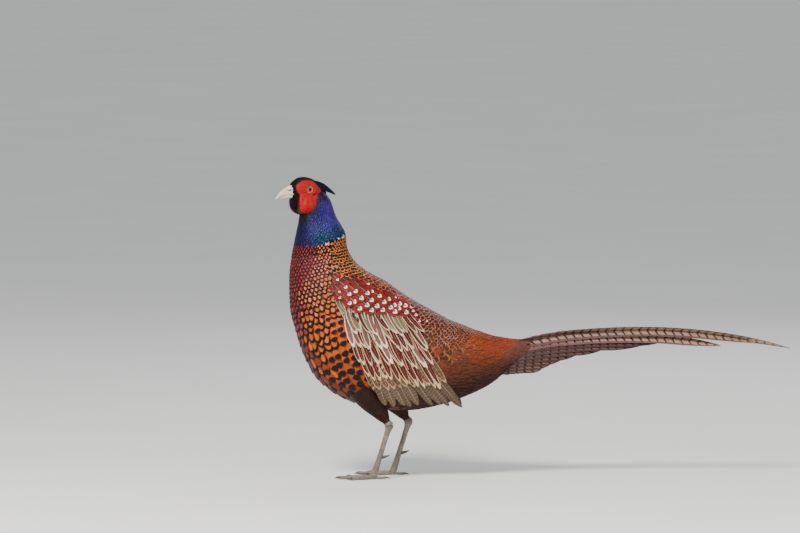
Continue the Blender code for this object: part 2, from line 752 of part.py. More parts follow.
def make_leg(side, foot, body_cutter):
    sign = side_of(side)
    knee, hock, low = leg_path(foot)
    down = (low - hock).normalized()
    up_leg = (knee - hock).normalized()
    thigh_radii = (23, 22, 17.5, 12, 8, 5.4)
    thigh_shares = (1.0, 0.76, 0.54, 0.35, 0.2, 0.12)
    thigh = tube("thigh", [hock.lerp(knee, s) for s in thigh_shares], [r * MM for r in thigh_radii], 14)
    cut(thigh, body_cutter, keep=True)
    finish(thigh, f"thigh_{side}", "rump")
    shank_top = hock + up_leg * (0.12 * (knee - hock).length - GAP)
    shank_low = low - down * (9 * MM)
    centres = [shank_top, hock + up_leg * (4 * MM), hock, hock + down * (4 * MM)]
    radii = [5.0 * MM, 5.4 * MM, 5.8 * MM, 5.0 * MM]
    scutes = 7
    for i in range(scutes):
        for share, swell in ((0.05, 0.93), (0.9, 1.05)):
            s = (i + share) / scutes
            centres.append((hock + down * (9 * MM)).lerp(shank_low, s))
            radii.append(SHANK_RADIUS * swell * (1 + 0.25 * abs(2 * s - 1) ** 3))
    shank = tube("shank", centres, radii, 10)
    spur_root = hock.lerp(low, 0.66)
    back = Vector((1, 0, 0))
    spur_line = [spur_root + back * (reach * MM) + Vector((0, 0, rise * MM))
                 for reach, rise in ((0, 0), (7, 0), (12, 1.5), (16, 4))]
    spur = tube("spur", spur_line, [3.2 * MM, 2.6 * MM, 1.6 * MM, 0.4 * MM], 8)
    fuse(shank, [spur])
    finish(shank, f"shank_{side}", "leg")
    stub_top = shank_low + down * GAP
    ankle = tube("ankle", [stub_top, stub_top.lerp(low, 0.6), low, low + Vector((-2, 0, -5)) * MM],
                 [4.6 * MM, 5.0 * MM, 5.6 * MM, 5.2 * MM], 12, True)
    pieces = []
    for turn, length, radius in TOES:
        heading = math.radians(turn) * sign
        ahead = Vector((-math.cos(heading), math.sin(heading), 0))
        pieces.append(make_toe(foot, ahead, length * MM, radius * MM))
    fuse(ankle, pieces)
    return finish(ankle, f"foot_{side}", "leg")


def make_toe(foot, ahead, length, radius):
    """A jointed toe with its claw, flat where it rests on the floor."""
    start = foot + Vector((0, 0, radius * 0.8))
    centres, radii = [], []
    pads = 3 if length > 30 * MM else 1
    steps = 3 * pads
    for i in range(steps + 1):
        u = i / steps
        swell = 1 + 0.13 * math.cos(2 * math.pi * pads * u)
        centres.append(start + ahead * (length * u) + Vector((0, 0, -0.22 * radius * u)))
        radii.append(radius * (1 - 0.28 * u) * swell)
    tip = centres[-1]
    for u, rise, share in ((0.4, 0.5, 0.62), (0.75, 0.2, 0.4), (1.0, -0.9, 0.16)):
        centres.append(tip + ahead * (CLAW_LENGTH * u) + Vector((0, 0, rise * MM)))
        radii.append(radii[steps] * share)
    return tube("toe", centres, radii, 6, True)


def main():
    clear_scene()
    make_head()
    make_bill()
    head_cutter = head_body("head_cutter", GAP)
    for side in ("left", "right"):
        make_eye(side)
        make_wattle(side, head_cutter)
    bpy.data.objects.remove(head_cutter)

    finish(body_loft("neck", NECK_START + 0.016, TORSO_START, 8, 28), "neck", "neck", 0.35)
    finish(body_loft("torso", TORSO_START + 0.012, RUMP_START, 20, 28), "torso", "breast")
    finish(body_loft("rump", RUMP_START + 0.011, BODY_END, 7, 28), "rump", "rump")

    body_cutter = body_loft("body_cutter", TORSO_START - 0.5, BODY_END, 28, 28, GAP)
    make_wings(body_cutter)
    core, vanes = make_tail()
    cut(core, body_cutter, keep=True)
    for piece in vanes:
        cut(piece, body_cutter, keep=True)
    fuse(core, vanes)
    finish(core, "tail", "tail")
    make_leg("left", FOOT_LEFT, body_cutter)
    make_leg("right", FOOT_RIGHT, body_cutter)
    bpy.data.objects.remove(body_cutter)
    for obj in bpy.context.scene.objects:
        obj.data.transform(Matrix.Translation((-ORIGIN_X, 0, 0)))


main()
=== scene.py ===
"""Looks of a male common pheasant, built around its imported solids: one skin, and feathers that lie over it.

Lengths in the tables are millimetres, colours are sRGB from 0 to 255, and every mesh is made in metres.
"""

import math

import bmesh
import bpy
import numpy as np
from mathutils import Matrix, Vector
from mathutils.kdtree import KDTree


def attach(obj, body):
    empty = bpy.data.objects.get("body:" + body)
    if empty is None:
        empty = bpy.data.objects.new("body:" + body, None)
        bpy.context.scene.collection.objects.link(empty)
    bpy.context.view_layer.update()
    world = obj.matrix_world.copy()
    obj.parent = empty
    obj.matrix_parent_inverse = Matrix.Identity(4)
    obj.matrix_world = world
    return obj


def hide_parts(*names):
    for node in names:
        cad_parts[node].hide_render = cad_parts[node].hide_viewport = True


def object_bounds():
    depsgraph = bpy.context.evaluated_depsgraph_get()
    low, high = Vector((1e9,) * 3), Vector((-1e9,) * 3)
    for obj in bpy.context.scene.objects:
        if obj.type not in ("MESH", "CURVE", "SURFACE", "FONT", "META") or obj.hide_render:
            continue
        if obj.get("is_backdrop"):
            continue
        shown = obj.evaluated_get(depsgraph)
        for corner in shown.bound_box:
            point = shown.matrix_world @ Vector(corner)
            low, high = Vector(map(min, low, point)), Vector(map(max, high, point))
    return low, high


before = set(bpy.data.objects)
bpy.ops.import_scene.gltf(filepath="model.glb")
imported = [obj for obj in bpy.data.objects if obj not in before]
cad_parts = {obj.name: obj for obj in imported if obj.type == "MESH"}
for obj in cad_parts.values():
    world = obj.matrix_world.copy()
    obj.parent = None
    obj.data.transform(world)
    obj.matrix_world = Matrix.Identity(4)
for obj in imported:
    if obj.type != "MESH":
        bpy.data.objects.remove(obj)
CAD_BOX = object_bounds()

MM = 0.001
SEED = 11
SIDES = {"left": 1, "right": -1}
# The tables' x is measured from this far behind the middle of the whole length, where the origin lies.
ORIGIN_X = 7.85 * MM

# The feathered outline that the solids have, from inside the head to over the root of the tail.
# Columns: ventral x and z, dorsal x and z, half width.
BODY = MM * np.array([
    (-337, 417, -309, 432, 12),
    (-342, 399, -297, 417, 19),
    (-345, 381, -288, 392, 24),
    (-350, 357, -275, 369, 31),
    (-355, 330, -271, 344, 33),
    (-358, 304, -259, 324, 38),
    (-358, 279, -240, 309, 45),
    (-356, 249, -214, 295, 52),
    (-348, 219, -192, 279, 57),
    (-336, 183, -168, 264, 60),
    (-315, 147, -142, 250, 61),
    (-279, 120, -120, 238, 61),
    (-229, 105, -97, 229, 59),
    (-177, 102, -75, 220, 54),
    (-129, 111, -54, 213, 47),
    (-87, 126, -37, 210, 38),
    (-57, 141, -24, 208, 29),
    (-33, 160, -8, 207, 20),
    (-8, 176, 8, 207, 12),
    (16, 188, 24, 208, 7),
])
BODY[:, (0, 2)] -= ORIGIN_X
BODY_POWER = 2.2
BODY_END = 16.0
# How often the search for a point's section halves its stretch. Nothing is inside before the first section.
SECTION_HALVINGS, FIRST_SECTION = 22, 0.01

# The head, in its own frame: a runs forward along the head, b to its left, c up.
HEAD_CENTRE = np.array([-333, 0, 428]) * MM - (ORIGIN_X, 0, 0)
HEAD_YAW = math.radians(33)
FORWARD = np.array([-math.cos(HEAD_YAW), -math.sin(HEAD_YAW), 0])
LEFTWARD = np.array([math.sin(HEAD_YAW), -math.cos(HEAD_YAW), 0])
UPWARD = np.array([0.0, 0.0, 1.0])
# Columns: a, top c, bottom c, half width.
HEAD = MM * np.array([
    (-35, -6.4, -7.6, 0.6),
    (-33, -3, -11, 4),
    (-29, 5, -19, 11),
    (-21, 13, -27, 15.5),
    (-10, 19.5, -30, 16.5),
    (2, 23, -30, 15.8),
    (13, 22.5, -28, 13.5),
    (21, 18.5, -20, 11),
    (26, 13, -9, 7.8),
])
HEAD_POWER = 2.3
# How much the side of the face rounds off, and between which shares of the head's height.
CHEEK_ROUNDING, CHEEK_SPAN = 0.75, (-1.15, 1.05)
# Columns: a, top c, lower c, half width, each of the upper bill's sections, and the lower bill's below.
UPPER_BILL = MM * np.array([
    (24, 12.0, -2.2, 6.7),
    (30, 11.6, -1.4, 6.2),
    (36, 8.8, -1.4, 5.2),
    (43.5, 4.2, -2.6, 4.1),
    (49.5, -1.2, -5.0, 2.7),
    (53.5, -6.2, -8.2, 1.0),
])
LOWER_BILL = MM * np.array([
    (22, -2.6, -7.2, 5.9),
    (32, -1.9, -7.8, 5.0),
    (39, -2.2, -7.6, 3.8),
    (45.5, -3.8, -7.4, 2.6),
    (49, -5.4, -7.0, 1.2),
])
EYE_A, EYE_C = 3.2 * MM, 5.6 * MM
EYE_RADIUS = 6.0 * MM
EYE_SINK = 4.6 * MM
LID_RING, LID_THICK = 5.3 * MM, 0.85 * MM
# Outline of the red face skin in a and c.
WATTLE = MM * np.array([
    (23.5, 12), (16, 18), (5, 20), (-6, 15.5), (-16.5, 3), (-11, -7), (-8.5, -17),
    (-1, -28), (8, -32), (18.5, -27), (21.5, -14), (20, -3), (23.5, 4),
])
WATTLE_CENTRE = MM * np.array([5, -3])
WATTLE_RISE = 2.6 * MM
JOWL_RISE, JOWL_DROP = 7.0 * MM, 22 * MM
PAPILLA_STEP, PAPILLA_RISE = 1.25 * MM, 0.38 * MM
# How far the skin dips in under the lids.
EYE_DIP = 6.5 * MM
# A short row of tiny dark feathers on the skin, behind and below the eye.
DARK_ROW_A, DARK_ROW_C = -3.0 * MM, -2.4 * MM
TUFT_ROOT = MM * np.array([-9, 9.5, 14])
TUFT_TIP = MM * np.array([-45, 13, -4])
TUFT_LAYERS, TUFT_LANES = 4, 5
# Half width of a tuft feather, how high its line arches, how deep its root goes in, and between layers.
TUFT_HALF, TUFT_ARCH, TUFT_SUNK, TUFT_GAP = 2.2 * MM, 1.8 * MM, 2.4 * MM, 0.35 * MM
# Where the feathers of each layer begin and end along the tuft.
TUFT_SPANS = ((0.0, 0.55), (0.08, 0.72), (0.2, 0.88), (0.32, 1.0))

# Corners of the closed wing's pad: front top, rear top, rear bottom, front bottom, as x and z.
WING_CORE = MM * np.array([(-296, 286), (-178, 272), (-160, 196), (-238, 172)])
WING_CORE[:, 0] -= ORIGIN_X
# How much the body's side rounds off under the wing, and how near to the ridge of the back a wing can lie.
FLANK_ROUNDING, NEAREST_RIDGE = 0.55, 0.97

# Tail feathers in pairs from the long middle pair outwards: length and full width.
TAIL_PAIRS = (
    (446, 30), (341, 29), (245, 28), (218, 27), (160, 26), (122, 25), (100, 23), (84, 21), (72, 19),
)
TAIL_ROOT_X = -52 * MM
TAIL_CREST_X, TAIL_CREST_Z = 170 * MM, 227 * MM
TAIL_FALL_FRONT, TAIL_FALL_BACK = 0.43, 0.60
# Where the middle pair starts, to the side and below the crest, and how far it leans over.
TAIL_OUT, TAIL_UNDER, TAIL_ROLL = 2.0 * MM, 6.5 * MM, math.radians(32)
# What each further pair adds: to the side, in layers and in lean.
TAIL_STEP, TAIL_LAYER, TAIL_ROLL_STEP = 5.0 * MM, 1.2 * MM, math.radians(7)
# How far below the crest the roots of all pairs are drawn together, and how far the outer pairs hang.
TAIL_GATHER, TAIL_FAN_DROP = 22 * MM, 10 * MM
LEFT_MIDDLE_SHORTER, LEFT_MIDDLE_DROP = 48 * MM, 3.5 * MM
TAIL_BAR = 12.5 * MM

FEET = {
    "left": MM * np.array([-232, -36, 0]) - (ORIGIN_X, 0, 0),
    "right": MM * np.array([-203, 36, 0]) - (ORIGIN_X, 0, 0),
}
HOCK_BACK, HOCK_HEIGHT = 24 * MM, 80 * MM
KNEE_FORWARD, KNEE_INWARD, KNEE_HEIGHT = 16 * MM, 10 * MM, 140 * MM
SHANK_RADIUS = 3.9 * MM
# Turn from straight ahead in degrees, length and radius.
TOES = ((0, 50, 3.7), (-31, 38, 3.4), (30, 42, 3.4), (172, 17, 2.8))
CLAW_LENGTH = 9 * MM
TOE_SCALE, LONG_TOE = 2.6 * MM, 30 * MM
# The spur: how far down the shank, how far it reaches back and up, and its radii at root and tip.
SPUR_PLACE, SPUR_REACH, SPUR_RISE = 0.66, 14.3 * MM, 3.9 * MM
SPUR_RADIUS, SPUR_TIP = 3.0 * MM, 0.15 * MM

# The view of the photograph: a long lens at the bird's left, a little above it.
VIEW_AIM = Vector((-0.200, 0, 0.317))
VIEW_DISTANCE = 12.0
VIEW_ELEVATION = math.radians(4)
VIEW_LENS, VIEW_SENSOR = 360, 36


def unit(vectors):
    return vectors / np.maximum(np.linalg.norm(vectors, axis=-1, keepdims=True), 1e-12)


def dot(first, second):
    return np.sum(first * second, axis=-1)


def ease(low, high, value):
    """0 below low, 1 above high, and smooth between."""
    share = np.clip((value - low) / (high - low), 0, 1)
    return share * share * (3 - 2 * share)


def linear(colour):
    """An sRGB colour as the linear shares that a shader takes."""
    share = np.asarray(colour, float) / 255
    return np.where(share <= 0.04045, share / 12.92, ((share + 0.055) / 1.055) ** 2.4)


def curve_rows(table, t):
    """The table's row at each t, on a smooth curve through its rows."""
    t = np.asarray(t, float)
    last = len(table) - 1
    i = np.clip(np.floor(t).astype(int), 0, last - 1)
    u = (t - i)[..., None]
    before, here = table[np.maximum(i - 1, 0)], table[i]
    there, after = table[i + 1], table[np.minimum(i + 2, last)]
    return 0.5 * (
        2 * here + (there - before) * u + (2 * before - 5 * here + 4 * there - after) * u * u
        + (3 * here - before - 3 * there + after) * u ** 3
    )


def rounded(turn, power):
    """Cosine and sine of each turn, stretched to a unit superellipse."""
    c, s = np.cos(turn), np.sin(turn)
    reach = (np.abs(c) ** power + np.abs(s) ** power) ** (-1 / power)
    return reach * c, reach * s


def from_head(points):
    """Points of the head's frame in the row frame."""
    return HEAD_CENTRE + points[..., :1] * FORWARD + points[..., 1:2] * LEFTWARD + points[..., 2:] * UPWARD


def to_head(points):
    """Points of the row frame in the head's frame."""
    away = points - HEAD_CENTRE
    return np.stack([away @ FORWARD, away @ LEFTWARD, away @ UPWARD], axis=-1)


# Steps over which slopes are measured: along, as a share of a section or of a leg, and round, as a turn.
SECTION_STEP, TURN_STEP = 0.01, 0.01


class Surface:
    """A smooth form whose points have two coordinates. facing is 1 where around x along points outwards."""

    def __init__(self, at, steps, facing=1):
        self.at = at
        self.steps = np.diag(steps)
        self.facing = facing

    def frame(self, q):
        """Points at q, how they move with each coordinate, and the outward normals."""
        here = self.at(q)
        along = (self.at(q + self.steps[0]) - here) / self.steps[0, 0]
        around = (self.at(q + self.steps[1]) - here) / self.steps[1, 1]
        return here, along, around, unit(np.cross(around, along)) * self.facing


def body_at(q, grow=0.0):
    """The body's outline at its section and its turn: 0 at the back, a quarter turn at the left side."""
    row = curve_rows(BODY, q[..., 0])
    up, across = rounded(q[..., 1], BODY_POWER)
    half_x, half_z = (row[..., 2] - row[..., 0]) / 2, (row[..., 3] - row[..., 1]) / 2
    size = np.hypot(half_x, half_z)
    up = up * (1 + grow / size)
    x = (row[..., 0] + row[..., 2]) / 2 + half_x * up
    z = (row[..., 1] + row[..., 3]) / 2 + half_z * up
    return np.stack([x, -(row[..., 4] + grow) * across, z], axis=-1)


def head_rows(a):
    """The head's section at each a: a, top, bottom and half width."""
    return curve_rows(HEAD, np.interp(a, HEAD[:, 0], np.arange(len(HEAD))))


def head_at(q, grow=0.0):
    """The head's outline at q = distance behind its centre, and turn from the top towards the left."""
    row = head_rows(-q[..., 0])
    up, across = rounded(q[..., 1], HEAD_POWER)
    b = (row[..., 3] + grow) * across
    c = (row[..., 1] + row[..., 2]) / 2 + ((row[..., 1] - row[..., 2]) / 2 + grow) * up
    return from_head(np.stack([-q[..., 0], b, c], axis=-1))


def head_side(a, c):
    """How far the side of the face stands out from the middle of the head, hanging straight under the jaw."""
    row = head_rows(a)
    top, bottom, width = row[..., 1], row[..., 2], row[..., 3]
    share = (c - (top + bottom) / 2) / ((top - bottom) / 2)
    return width * np.sqrt(1 - (CHEEK_ROUNDING * np.clip(share, *CHEEK_SPAN)) ** 2)


def side_place(q):
    """Which body section each point of the side view lies on, how high on it, and the half width there."""
    low, high = np.zeros(q.shape[:-1]), np.full(q.shape[:-1], BODY_END)
    x, z = q[..., 0], q[..., 1]
    for _ in range(SECTION_HALVINGS):
        t = (low + high) / 2
        x0, z0, x1, z1, width = np.moveaxis(curve_rows(BODY, t), -1, 0)
        past = (x1 - x0) * (z - z0) - (z1 - z0) * (x - x0) > 0
        high = np.where(past, t, high)
        low = np.where(past, low, t)
    along = np.stack([x1 - x0, z1 - z0], axis=-1)
    share = dot(q - np.stack([x0, z0], axis=-1), along) / dot(along, along)
    return t, 2 * share - 1, width


def side_at(sign):
    """The side of the body as a wing lies on it, hanging straight below the body's widest line."""
    def at(q):
        _, share, width = side_place(q)
        upper = width * (1 - np.clip(share, 0, NEAREST_RIDGE) ** BODY_POWER) ** (1 / BODY_POWER)
        lower = width * np.sqrt(1 - (FLANK_ROUNDING * np.clip(share, -1.5, 0)) ** 2)
        depth = np.where(share > 0, upper, lower)
        return np.stack([q[..., 0], -sign * depth, q[..., 1]], axis=-1)
    return at


BODY_SURFACE = Surface(body_at, (SECTION_STEP, TURN_STEP))
HEAD_SURFACE = Surface(head_at, (0.3 * MM, TURN_STEP))
SIDE_SURFACES = {side: Surface(side_at(sign), (MM, MM), -sign) for side, sign in SIDES.items()}


def in_body(points, grow=0.0):
    """Whether each point lies inside the body's outline."""
    t, share, width = side_place(points[..., (0, 2)])
    inside = np.abs(share) ** BODY_POWER + np.abs(points[..., 1] / (width + grow)) ** BODY_POWER < 1
    return inside & (t > FIRST_SECTION)


def in_head(points, grow=0.0):
    """Whether each point lies inside the head's outline."""
    a, b, c = np.moveaxis(to_head(points), -1, 0)
    row = head_rows(a)
    up = (c - (row[..., 1] + row[..., 2]) / 2) / ((row[..., 1] - row[..., 2]) / 2 + grow)
    across = b / (row[..., 3] + grow)
    inside = np.abs(up) ** HEAD_POWER + np.abs(across) ** HEAD_POWER < 1
    return inside & (a > HEAD[0, 0] - grow) & (a < HEAD[-1, 0] + grow)


def new_object(name, points, quads, triangles=()):
    """A mesh object from arrays of points and of the corners of its quads and triangles."""
    quads = np.asarray(quads, np.int32).reshape(-1, 4)
    triangles = np.asarray(triangles, np.int32).reshape(-1, 3)
    corners = np.concatenate([quads.ravel(), triangles.ravel()])
    sizes = np.concatenate([np.full(len(quads), 4), np.full(len(triangles), 3)])
    mesh = bpy.data.meshes.new(name)
    mesh.vertices.add(len(points))
    mesh.vertices.foreach_set("co", np.asarray(points, np.float32).ravel())
    mesh.loops.add(len(corners))
    mesh.loops.foreach_set("vertex_index", corners)
    mesh.polygons.add(len(sizes))
    mesh.polygons.foreach_set("loop_start", np.concatenate([[0], np.cumsum(sizes)[:-1]]).astype(np.int32))
    mesh.update(calc_edges=True)
    mesh.validate()
    mesh.shade_smooth()
    return in_scene(name, mesh)


def in_scene(name, data):
    """An object of this mesh, light or camera, in the scene."""
    made = bpy.data.objects.new(name, data)
    bpy.context.scene.collection.objects.link(made)
    return made


def set_colours(obj, name, colours):
    """Keeps one colour with alpha for each point of the mesh."""
    layer = obj.data.attributes.new(name, "FLOAT_COLOR", "POINT")
    layer.data.foreach_set("color", np.asarray(colours, np.float32).ravel())


def set_uv(obj, name, uv):
    """Keeps a UV map from one place for each point of the mesh."""
    corners = np.zeros(len(obj.data.loops), np.int32)
    obj.data.loops.foreach_get("vertex_index", corners)
    layer = obj.data.uv_layers.new(name=name)
    layer.data.foreach_set("uv", np.asarray(uv, np.float32)[corners].ravel())


def face_outwards(obj):
    mesh = bmesh.new()
    mesh.from_mesh(obj.data)
    bmesh.ops.recalc_face_normals(mesh, faces=mesh.faces)
    mesh.to_mesh(obj.data)
    mesh.free()
    return obj


def declare(obj, material, slot, *nodes):
    """Gives a piece its material and the solids that it stands for; its slot is not used."""
    obj.data.materials.clear()
    obj.data.materials.append(material)
    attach(obj, "root")
    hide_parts(*nodes)


def grid_faces(rows, columns, closed=False):
    """Corners of the quads between rows of points, the last column joined to the first if closed."""
    i = np.arange(rows - 1)[:, None] * columns
    j = np.arange(columns if closed else columns - 1)[None, :]
    k = (j + 1) % columns
    return np.stack([i + j, i + columns + j, i + columns + k, i + k], axis=-1).reshape(-1, 4)


def lofted(name, rings, smooth=None):
    """A closed form through rings of equal count, with a fan on each end."""
    rings = np.asarray(rings)
    rows, columns = rings.shape[:2]
    points = np.concatenate([rings.reshape(-1, 3), rings[[0, -1]].mean(axis=1)])
    j = np.arange(columns)
    k = (j + 1) % columns
    hub, end = rows * columns, (rows - 1) * columns
    triangles = [np.stack([np.full(columns, hub), j, k], axis=-1)]
    triangles.append(np.stack([np.full(columns, hub + 1), end + k, end + j], axis=-1))
    made = new_object(name, points, grid_faces(rows, columns, True), np.concatenate(triangles))
    face_outwards(made)
    if smooth:
        made.data.set_sharp_from_angle(angle=math.radians(smooth))
    return made


# What each feather keeps for its material: vane, core and edge colours, strengths of its marks, and bars.
LAYERS = ("Base", "Core", "Edge", "Form", "Bars")
# Edges sharper than this show as edges on a feather.
VANE_EDGE = math.radians(60)


class Plumes:
    """The feathers of one piece of the coat, each a closed thin vane, joined into one mesh."""

    def __init__(self, name):
        self.name = name
        self.points, self.quads, self.triangles = [], [], []
        self.layers = {key: [] for key in LAYERS}
        self.uv, self.bake = [], []
        self.count = 0

    def add(self, grid, outward, v, thickness, looks, bake, patch):
        """Adds vanes from their upper faces, as grids of root-to-tip rows, with looks for each vane."""
        vanes, rows, columns = grid.shape[:3]
        middle = columns // 2
        under = grid[:, :, middle] - outward[:, :, middle] * thickness
        points = np.concatenate([grid.reshape(vanes, -1, 3), under], axis=1)
        size = points.shape[1]
        low = rows * columns + np.arange(rows)
        i = np.arange(rows - 1)
        left, right = i * columns, i * columns + columns - 1
        quads = np.concatenate([
            grid_faces(rows, columns),
            np.stack([left, low[:-1], low[1:], left + columns], axis=-1),
            np.stack([low[:-1], right, right + columns, low[1:]], axis=-1),
        ])
        j = np.arange(columns - 1)
        end = (rows - 1) * columns
        triangles = np.concatenate([
            np.stack([np.full(columns - 1, low[0]), j, j + 1], axis=-1),
            np.stack([np.full(columns - 1, low[-1]), end + j + 1, end + j], axis=-1),
        ])
        starts = self.count + size * np.arange(vanes)[:, None, None]
        self.quads.append((quads + starts).reshape(-1, 4))
        self.triangles.append((triangles + starts).reshape(-1, 3))
        self.points.append(points.reshape(-1, 3))
        self.count += vanes * size
        across = np.concatenate([np.tile(np.linspace(0, 1, columns), rows), np.full(rows, 0.5)])
        length = np.concatenate([np.repeat(v, columns), v])
        place = np.stack([across, length], axis=-1)
        self.uv.append(np.tile(place, (vanes, 1)))
        patch = np.broadcast_to(np.asarray(patch, float), (vanes,))[:, None, None]
        self.bake.append((bake[:, None] + (place[None] - 0.5) * patch).reshape(-1, 2))
        for key, values in self.layers.items():
            values.append(np.repeat(np.broadcast_to(looks[key], (vanes, 4)), size, axis=0))

    def build(self, material, slot, *nodes):
        made = new_object(self.name, *map(np.concatenate, (self.points, self.quads, self.triangles)))
        made.data.set_sharp_from_angle(angle=VANE_EDGE)
        for key, values in self.layers.items():
            set_colours(made, key, np.concatenate(values))
        set_uv(made, "OFBake", np.clip(np.concatenate(self.bake), 0.001, 0.999))
        set_uv(made, "Feather", np.concatenate(self.uv))
        declare(made, material, slot, *nodes)


# How far the points of a feather's end stray along it, over the square root of its length.
RAGGED_TIP = 0.0027


def vane_width(v, blunt):
    """Share of a feather's width at each v of its length: narrow at the root, rounded at the tip."""
    root = 0.45 + 0.55 * np.minimum(v / 0.3, 1)
    tip = np.sqrt(1 - np.clip((v - blunt) / (1 - blunt), 0, 0.985) ** 2)
    return root * tip


def lay(surface, roots, length, width, low, high, rows=6, columns=5, blunt=0.55, aim=(1.0, 0.0), heading=0.0,
        camber=0.3 * MM, tilt=0.0, bow=0.0):
    """Feathers on a surface: their grids of points, the normals there and each row's share of the length.

    aim is the way they grow in the surface's coordinates, heading a turn away from it, and low and high are
    the heights over the surface at root and tip.
    """
    count = len(roots)
    each = [np.broadcast_to(np.asarray(value, float), (count,)) for value in
            (length, width, low, high, heading, camber, tilt, bow)]
    length, width, low, high, heading, camber, tilt, bow = each
    _, along, around, outward = surface.frame(roots)
    aim = np.broadcast_to(np.asarray(aim, float), (count, 2))
    ahead = unit(along * aim[:, :1] + around * aim[:, 1:])
    side = np.cross(outward, ahead)
    c, s = np.cos(heading)[:, None], np.sin(heading)[:, None]
    ahead, side = c * ahead + s * side, c * side - s * ahead
    v = 1 - (1 - np.linspace(0, 1, rows)) ** 1.5
    u = np.linspace(-1, 1, columns)
    ragged = np.random.default_rng(SEED + count).normal(0, 1, (count, rows, columns)) * (v ** 2)[:, None]
    onward = length[:, None, None] * v[:, None] + RAGGED_TIP * np.sqrt(length[:, None, None]) * ragged
    sideways = width[:, None, None] / 2 * vane_width(v, blunt)[:, None] * u
    sideways = sideways + bow[:, None, None] * np.sin(np.pi * v)[:, None]
    offset = onward[..., None] * ahead[:, None, None] + sideways[..., None] * side[:, None, None]
    first, second = dot(offset, along[:, None, None]), dot(offset, around[:, None, None])
    pairs = (along, along), (along, around), (around, around)
    m00, m01, m11 = (dot(one, other)[:, None, None] for one, other in pairs)
    scale = m00 * m11 - m01 ** 2
    moved = np.stack([(m11 * first - m01 * second) / scale, (m00 * second - m01 * first) / scale], axis=-1)
    here, _, _, normal = surface.frame(roots[:, None, None] + moved)
    height = low[:, None, None] + (high - low)[:, None, None] * (v ** 1.2)[:, None]
    height = height + tilt[:, None, None] * u - camber[:, None, None] * u ** 2
    return here + normal * height[..., None], normal, v


class Graph:
    """A material in the making, with short calls for its nodes."""

    def __init__(self, name, **constants):
        self.material = bpy.data.materials.new(name)
        self.material.use_nodes = True
        self.tree = self.material.node_tree
        self.shader = self.tree.nodes["Principled BSDF"]
        for socket, value in constants.items():
            self.shader.inputs[socket.replace("_", " ")].default_value = value

    def put(self, socket, value):
        if isinstance(value, bpy.types.NodeSocket):
            self.tree.links.new(value, socket)
        elif socket.type == "RGBA" and len(value) == 3:
            socket.default_value = (*value, 1)
        else:
            socket.default_value = value

    def add(self, kind, **settings):
        node = self.tree.nodes.new("ShaderNode" + kind)
        for key, value in settings.items():
            setattr(node, key, value)
        return node

    def math(self, operation, *values, clamp=False):
        node = self.add("Math", operation=operation, use_clamp=clamp)
        for socket, value in zip(node.inputs, values):
            self.put(socket, value)
        return node.outputs[0]

    def times(self, *values):
        total = values[0]
        for value in values[1:]:
            total = self.math("MULTIPLY", total, value)
        return total

    def ease(self, value, low, high):
        """0 where value is below low, 1 above high, smooth between. low may be over high."""
        node = self.add("MapRange", interpolation_type="SMOOTHSTEP")
        for name, given in (("Value", value), ("From Min", low), ("From Max", high)):
            self.put(node.inputs[name], given)
        return node.outputs["Result"]

    def band(self, value, low, high, soft):
        rise = self.ease(value, low - soft, low + soft)
        return self.times(rise, self.ease(value, high + soft, high - soft))

    def mix(self, share, first, second, blend="MIX"):
        node = self.add("Mix", data_type="RGBA", blend_type=blend)
        self.put(node.inputs[0], share)
        self.put(node.inputs[6], first)
        self.put(node.inputs[7], second)
        return node.outputs[2]

    def attribute(self, name):
        node = self.add("Attribute", attribute_name=name)
        return node.outputs["Color"], node.outputs["Alpha"]

    def split(self, colour):
        node = self.add("SeparateColor")
        self.put(node.inputs[0], colour)
        return tuple(node.outputs)

    def uv(self, name):
        node = self.add("SeparateXYZ")
        self.put(node.inputs[0], self.add("UVMap", uv_map=name).outputs[0])
        return node.outputs[0], node.outputs[1]

    def vector(self, x, y, z=0.0):
        node = self.add("CombineXYZ")
        for socket, value in zip(node.inputs, (x, y, z)):
            self.put(socket, value)
        return node.outputs[0]

    def place(self):
        return self.add("TexCoord").outputs["Object"]

    def place_parts(self):
        node = self.add("SeparateXYZ")
        self.put(node.inputs[0], self.place())
        return tuple(node.outputs)

    def noise(self, scale, detail=2.0, vector=None):
        node = self.add("TexNoise")
        self.put(node.inputs["Vector"], vector or self.place())
        node.inputs["Scale"].default_value = scale
        node.inputs["Detail"].default_value = detail
        return node.outputs["Fac"]

    def cells(self, scale, feature="F1"):
        node = self.add("TexVoronoi", feature=feature)
        self.put(node.inputs["Vector"], self.place())
        node.inputs["Scale"].default_value = scale
        return node.outputs["Distance"]

    def bump(self, height, strength, distance):
        node = self.add("Bump")
        for name, value in (("Height", height), ("Strength", strength), ("Distance", distance)):
            self.put(node.inputs[name], value)
        self.put(self.shader.inputs["Normal"], node.outputs[0])

    def colour(self, value):
        self.put(self.shader.inputs["Base Color"], value)
        return self.material


FEATHER_DARK, MARK_GREY, SHAFT_PALE = linear((10, 7, 8)), linear((120, 84, 80)), linear((190, 165, 135))
# A feather's bars are kept as a share of this many.
MOST_BARS = 50.0
# How far the bars lie back at a feather's edges, in distances between bars, and the barbs, in lengths.
BAR_SLANT, BARB_SLANT = 0.5, -0.22
# Barbs along a feather without bars, and between two bars.
BARBS, BARBS_PER_BAR = 46.0, 7.0
# Half width, middle and half length of the pale mark and the dark spot, as shares of the vane.
MARK_OVAL, SPOT_OVAL = (0.38, 0.74, 0.16), (0.90, 0.87, 0.20)
# Feather colours are this much deeper and fuller than on screen, because soft studio light pales them.
DEPTH, FULLNESS = 1.3, 1.12


def deep(colour):
    paint = linear(colour) ** DEPTH
    grey = paint @ np.array([0.2, 0.7, 0.1])
    return np.maximum(grey + FULLNESS * (paint - grey), 0.002)


